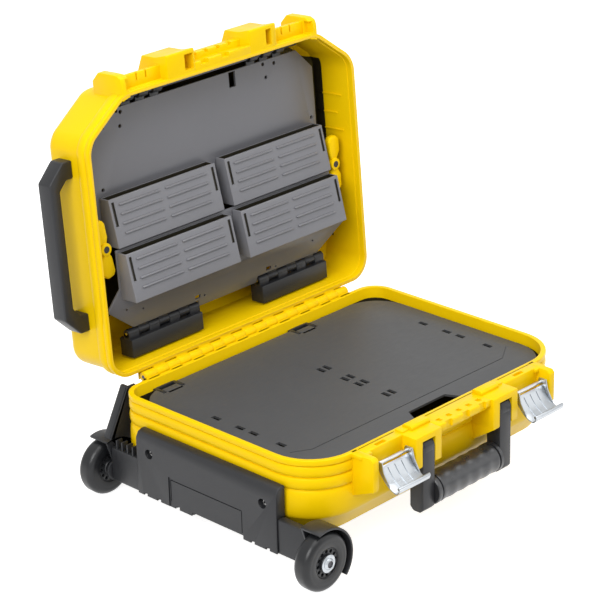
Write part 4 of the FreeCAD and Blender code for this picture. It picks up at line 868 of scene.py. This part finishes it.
def handleFrame(s):
    parts = [rod("x", -85, 85, s["y"], s["grip"], 8)]
    front, back, low, half = s["y"] - s["half"], s["y"] + s["half"], s["low"], s["half"]
    turns = [math.pi * k / 10 for k in range(11)]
    crown = [(s["y"] + half * math.cos(a), s["pin"] + half * math.sin(a)) for a in turns]
    foot = [(front, low + 5.5), (front + 5.5, low), (back - 5.5, low), (back, low + 5.5)]
    cap = [(front - 0.5, -25), (front - 0.5, -17), (front + 2.5, -11.5), (front + 6, -11.5), (front + 6, -25)]
    for side in sides:
        x0, x1 = pair(side, *s["arm"])
        parts += [prism(foot + crown, "x", x0, x1, 1.2), prism(cap, "x", x0 + 3, x1 - 3, 0.8)]
    return together(*parts)


def handleGrip(s):
    long = s["arm"][0] - 0.2
    end = [(0, 0), (0, 18.4), (1.2, 19.6), (6, 19.6), (6.6, 17.2), (8, 17.2), (8.6, 19.2)]
    waves = [k / 60 for k in range(1, 60)]
    profile = [(along - long, radius) for along, radius in end]
    profile += [(-long + 8.6 + (2 * long - 17.2) * k, 19.2 + 0.4 * math.cos(k * 10 * math.pi)) for k in waves]
    profile += [(long - along, radius) for along, radius in reversed(end)]
    return lathe(profile, "x", s["y"], s["grip"], 56)


finishPiece(handleFrame(handleSettings), "carryFrame", "carry_handle", blackPlastic,
            ["carry_handle_frame"])
finishPiece(handleGrip(handleSettings), "carryGrip", "carry_handle", gripRubber, ["carry_handle_grip"])
print("latches and carry handle made")


# lid

lidSettings = {"corners": ((-176, -375), (176, -375), (244, -325), (244, -8), (-244, -8), (-244, -325)),
               "radii": (34, 34, 34, 32, 32, 34), "recess": {-1: (-68, -53), 1: (80, 90)},
               "inside": [(84, 23), (82, 18), (72, 8), (9.5, 7.0), (9.0, 6.8), (8.6, 5.8), (1.4, 5.6), (0.9, 5.4)],
               "rim": [(0.6, 5.0), (0.6, 0.9), (0.8, 0.25), (1.3, 0), (7.2, 0), (7.85, 0.25), (8, 0.9)],
               "back": [(30, 4), (72, 4), (76, 4.5), (80, 6.1), (83.2, 8.64), (85.4, 11.4), (87, 14.4), (88, 17.6)],
               "hollow": [(-20, 7.0), (72, 8), (84, 23)], "ribs": ((270, 22), (244, 31), (220, 22)),
               "ribX": (235.0, 238.6), "ribTop": 66, "tab": (164, 177), "boss": (50, 99), "keeper": (96, 168),
               "inner": -371.5, "railHalf": 50.5, "stepCuts": (-33, 4), "railCuts": (-32, -11, 10, 31)}


def lidShell(s):
    band = [(9 + 16 * along, 4 * deep) for along, deep in bulge]
    return tub(s["corners"], s["radii"], s["inside"] + s["rim"] + band + s["back"])


def lidHollow(s):
    return tub(s["corners"], s["radii"], s["hollow"])


def wallRibs(s):
    return [slab(*pair(side, *s["ribX"]), -v - 1.1, -v + 1.1, w, s["ribTop"], 0.4)
            for side in sides for v, w in s["ribs"]]


def lidFront(s):
    inner, half = s["inner"], s["railHalf"]
    step = [(inner, 0.8), (-385, 0.8), (-386, 2), (-383, 20), (-383, 32), (inner, 32)]
    tab = [(-330, 0.8), (-386, 0.8), (-393, 3), (-396.5, 10), (-397, 20), (-397, 45), (-385, 57), (-330, 57)]
    boss = [(inner, 0.8), (-404, 0.8), (-405.5, 2.4), (-402, 18), (-401, 24), (-401, 48), (-375, 60), (inner, 60)]
    cuts = [slab(x - 7, x + 7, -388, -380.5, -2, 8) for x in s["stepCuts"]]
    parts = [carve(prism(step, "x", -half, half, 0.8), *cuts)]
    cuts = [slab(x - 3, x + 3, -396, -388, 16, 26) for x in s["railCuts"]]
    parts.append(carve(slab(-half, half, -392, inner, 20, 32, 1.0), *cuts))
    for side in sides:
        latchTab = prism(tab, "x", *pair(side, *s["tab"]), 1.4)
        parts.append(carve(latchTab, lidHollow(s), slab(*pair(side, 158, 170), -392, -377, -2, 12)))
        handleBoss = prism(boss, "x", *pair(side, *s["boss"]), 1.2)
        parts.append(carve(handleBoss, slab(*s["recess"][side], -400, -379, -3, 16)))
        keeper = slab(*pair(side, *s["keeper"]), -392, inner, 15, 22, 0.8)
        middle = side * 131.25
        parts.append(carve(keeper, *[slab(x - 1.3, x + 1.3, -394, -382, 5, 19) for x in (middle - 8, middle + 8)]))
    return parts


lid = together(lidShell(lidSettings), *knuckles(hingeSettings, 1, 0.4, 7), hingeLedge(hingeSettings, 1),
               *wallRibs(lidSettings), *lidFront(lidSettings))
finishPiece(lid, "lidShell", "lid", lidYellow, ["lid_shell"], True)
print("lid made")


# pallets and pockets in the lid

palletSettings = {"rodV": 357, "rodW": 40, "rodHalf": 172, "rodRadius": 3, "half": 205, "top": 346, "low": 174,
                  "chamfer": 30, "seat": 43, "thick": 3, "slots": (-184, 52), "holeRadius": 2.7,
                  "knuckles": (80, 105, 130), "knuckleLong": 16,
                  "holes": ((-155, 342), (-148, 339), (-151, 321), (111, 341), (132, 338), (115, 322), (-190, 246),
                            (196, 246))}


def upperPanel(s):
    half, top, low, cut, seat = s["half"], s["top"], s["low"], s["chamfer"], s["seat"]
    outline = [(-half, -low), (-half, -top + cut), (-half + cut, -top), (half - cut, -top), (half, -top + cut),
               (half, -low)]
    plate = prism(outline, "z", seat, seat + s["thick"], 0.6)
    cutters = [slab(x - 6, x + 6, -344.5, -323.5, 30, 60) for x in s["slots"]]
    cutters += [rod("z", 30, 60, x, -v, s["holeRadius"], 0, 16) for x, v in s["holes"]]
    return carve(plate, *cutters)


def upperKnuckles(s):
    parts = []
    for side in sides:
        for near in s["knuckles"]:
            x0, x1 = pair(side, near + 0.3, near + s["knuckleLong"] - 0.3)
            parts.append(rod("x", x0, x1, -s["rodV"], s["rodW"], 6, 0.6, 28))
            parts.append(slab(x0, x1, -s["rodV"], -s["top"], s["seat"], s["seat"] + s["thick"], 0.4))
    return together(*parts)


finishPiece(upperPanel(palletSettings), "upperPanel", "upper_pallet", greyPlastic, ["upper_panel"],
            True)
finishPiece(upperKnuckles(palletSettings), "upperKnuckles", "upper_pallet", blackPlastic, onLid=True)


def palletRod(s):
    return rod("x", -s["rodHalf"], s["rodHalf"], -s["rodV"], s["rodW"], s["rodRadius"], 0.6, 28)


finishPiece(palletRod(palletSettings), "palletRod", "lid", darkSteel, ["pallet_rod"], True)

pocketSettings = {"near": 9, "far": 198, "high": 63, "topDeep": 17, "lowDeep": 29, "wall": 2.2, "rim": 0.5,
                  "slit": (6, 2.4, 28, 60), "rows": (0.13, 0.33, 0.53, 0.73), "columns": ((0.08, 0.46), (0.51, 0.9))}


def pocket(s, side, low, seat):
    x0, x1 = pair(side, s["near"], s["far"])
    high, wall, top, deep = low + s["high"], s["wall"], seat - s["topDeep"], seat - s["lowDeep"]
    outer = prism([(-low, seat), (-high, seat), (-high, top), (-low, deep)], "x", x0, x1, 1.0, 3)
    slope = (s["lowDeep"] - s["topDeep"]) / s["high"]
    hollow = [(-low - wall, seat - wall), (-high - 5, seat - wall), (-high - 5, top + slope * 5 + wall),
              (-low - wall, deep + slope * wall + wall)]
    up = Vector((0, -s["high"], s["lowDeep"] - s["topDeep"])).normalized()
    right = Vector((1, 0, 0))
    face = Matrix.Translation((0, -low, deep)) @ Matrix((right, up, right.cross(up))).transposed().to_4x4()
    inset, half, start, end = s["slit"]
    slits = [moved(slab(x - half, x + half, start, end, -8, 4), face) for x in (x0 + inset, x1 - inset)]
    parts = [carve(outer, prism(hollow, "x", x0 + wall, x1 - wall), *slits)]
    for c0, c1 in s["columns"]:
        for row in s["rows"]:
            middle = s["high"] * (1 - row)
            rib = slab(x0 + (x1 - x0) * c0, x0 + (x1 - x0) * c1, middle - 1.4, middle + 1.4, -1, 2.3, 1.2, 3)
            parts.append(moved(rib, face))
    return together(*parts)


pocketRows = (("upper", 174, 43), ("lower", 105, 20))  # row, lower edge, seat
pocketGrey = {}
# each pocket row's grey gets painted shade inside its pockets
for row, low, seat in pocketRows:
    rowSettings = {**pocketSettings, "low": low, "seat": seat}
    pocketGrey[row] = mouldedPlastic(row + "PocketGrey", pocketToneAndSheen, pocketPaintedShade, rowSettings)
for side, name in sideName.items():
    for row, low, seat in pocketRows:
        finishPiece(pocket(pocketSettings, side, low, seat), row + "Pocket" + name.capitalize(), row + "_pallet",
                    pocketGrey[row], [row + "_pocket_" + name], True)

lowerSettings = {"top": 171, "knee": 92, "half": 199, "flare": 221, "flareV": 97, "front": 20, "thick": 3,
                 "lean": 0.298, "flareRise": 22, "holeRadius": 1.6, "knuckle": 5.5, "block": (-43, -18, 24, 48),
                 "foot": ((-174, 57), (-56, 57), (-55, 48), (55, 48), (56, 57), (174, 57)), "slots": (-59, 76),
                 "holes": ((-46, 62), (90, 62), (-160, 80), (-190, 88), (160, 80)),
                 "axis": (50, 34), "bracket": (57, 185), "cells": 7}


def lowerPanel(s):
    bm = bmesh.new()
    half, flare, flareV, knee, front = s["half"], s["flare"], s["flareV"], s["knee"], s["front"]
    spot = lambda x, v: bm.verts.new((x, -v, front if v >= knee else front + (knee - v) * s["lean"]))
    kneeLeft, kneeRight = spot(-flare, knee), spot(flare, knee)
    rise = flareV + s["flareRise"]
    bm.faces.new([spot(-half, s["top"]), spot(-half, rise), spot(-flare, flareV), kneeLeft, kneeRight,
                  spot(flare, flareV), spot(half, rise), spot(half, s["top"])])
    bm.faces.new([kneeLeft, *[spot(*place) for place in s["foot"]], kneeRight])
    bmesh.ops.recalc_face_normals(bm, faces=bm.faces)
    grown = bmesh.ops.extrude_face_region(bm, geom=bm.faces[:])["geom"]
    bmesh.ops.translate(bm, vec=(0, 0, s["thick"]), verts=newVerts(grown))
    bmesh.ops.recalc_face_normals(bm, faces=bm.faces)
    cutters = [slab(x - 5, x + 5, -66.5, -61, 20, 40) for x in s["slots"]]
    cutters += [rod("z", 20, 40, x, -v, s["holeRadius"], 0, 12) for x, v in s["holes"]]
    return carve(soften(bm, 0.6, least=40), *cutters)


def bracketCells(s, side, first):  # every second cell along a bracket
    start, end = s["bracket"]
    long = (end - start) / s["cells"]
    return [pair(side, start + i * long + 0.2, start + (i + 1) * long - 0.2) for i in range(first, s["cells"], 2)]


def lowerKnuckles(s):
    parts = []
    v, w = s["axis"]
    for side in sides:
        for x0, x1 in bracketCells(s, side, 1):
            parts.append(rod("x", x0, x1, -v, w, s["knuckle"], 0.5, 28))
            parts.append(prism([(-v, w - 1.5), (-58, w - 3.9), (-58, w - 0.9), (-v, w + 1.5)], "x", x0, x1, 0.3))
    return together(*parts)


finishPiece(lowerPanel(lowerSettings), "lowerPanel", "lower_pallet", greyPlastic, ["lower_panel"], True)
finishPiece(lowerKnuckles(lowerSettings), "lowerKnuckles", "lower_pallet", blackPlastic, onLid=True)


def hingeBracket(s, side):
    (v, w), knuckle = s["axis"], s["knuckle"]
    parts = [slab(*pair(side, *s["bracket"]), *s["block"], 1.4)]
    for x0, x1 in bracketCells(s, side, 0):
        parts.append(rod("x", x0, x1, -v, w, knuckle, 0.5, 28))
        parts.append(slab(x0, x1, -v, -42, w - knuckle, w + knuckle, 0.5))
    return together(*parts)


for side, name in sideName.items():
    finishPiece(hingeBracket(lowerSettings, side), "hingeBracket" + name.capitalize(), "lid", blackPlastic,
                ["hinge_bracket_" + name], True)


# knobs and stand handle

knobSettings = {"x": 214, "v": 177, "w": 32, "thick": 12, "tilt": -9,
                "wing": ((-4, 4), (-8, 14), (-8.5, 33), (-5, 39), (6, 40), (12, 34), (12, 17), (7, 9), (4, 4))}


def wingKnob(s, side):
    x, y = side * s["x"], -s["v"]
    front, back = s["w"] - 0.3 - s["thick"], s["w"] - 0.3
    parts = [rod("z", front, back, x, y, 8.5, 1.0)]
    for up in sides:
        wing = [(x + side * across, y + up * along) for across, along in s["wing"]]
        parts.append(prism(wing, "z", front + 2, back, 2.4, 3))
    bm = together(*parts)
    if side < 0:
        spot = Matrix.Translation((x, y, 0))
        moved(bm, spot @ Matrix.Rotation(math.radians(s["tilt"]), 4, "Z") @ spot.inverted())
    return bm


for side, name in sideName.items():
    finishPiece(wingKnob(knobSettings, side), name + "Knob", name + "_knob", yellowShell,
                ["wing_knob_" + name], True)

standSettings = {"wall": -240, "out": 39, "low": 72, "high": 300, "bevel": 24, "bar": 16, "arm": 24, "middle": 50,
                 "wide": 24}


def standHandle(s):
    wall, out = s["wall"], s["wall"] - s["out"]
    low, high, bevel, arm = -s["high"], -s["low"], s["bevel"], s["arm"]
    w0, w1 = s["middle"] - s["wide"] / 2, s["middle"] + s["wide"] / 2
    outer = [(wall, low), (out + bevel, low), (out, low + bevel), (out, high - bevel), (out + bevel, high),
             (wall, high)]
    bar, half = out + s["bar"], bevel / 2
    inner = [(wall + 5, low + arm), (bar + half, low + arm), (bar, low + arm + half), (bar, high - arm - half),
             (bar + half, high - arm), (wall + 5, high - arm)]
    handle = carve(prism(outer, "z", w0, w1), prism(inner, "z", w0 - 5, w1 + 5))
    return soften(handle, 2.2, 3)


finishPiece(standHandle(standSettings), "standHandle", "lid", blackPlastic, ["stand_handle"], True)
print("lid pieces made")

# nodes that keep their own shape
keptLooks = {"hinge_pin": darkSteel, "board_hinge_pins": brightSteel, "axle": darkSteel, "foot_screws": brightSteel,
             "carry_handle_pins": brightSteel, "lid_seal": sealRubber, "bracket_pins": brightSteel,
             "knob_screws": blackPlastic, "stand_handle_screws": brightSteel}
for node, look in keptLooks.items():
    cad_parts[node].data.materials.clear()
    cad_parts[node].data.materials.append(look)

print("tool case ready")
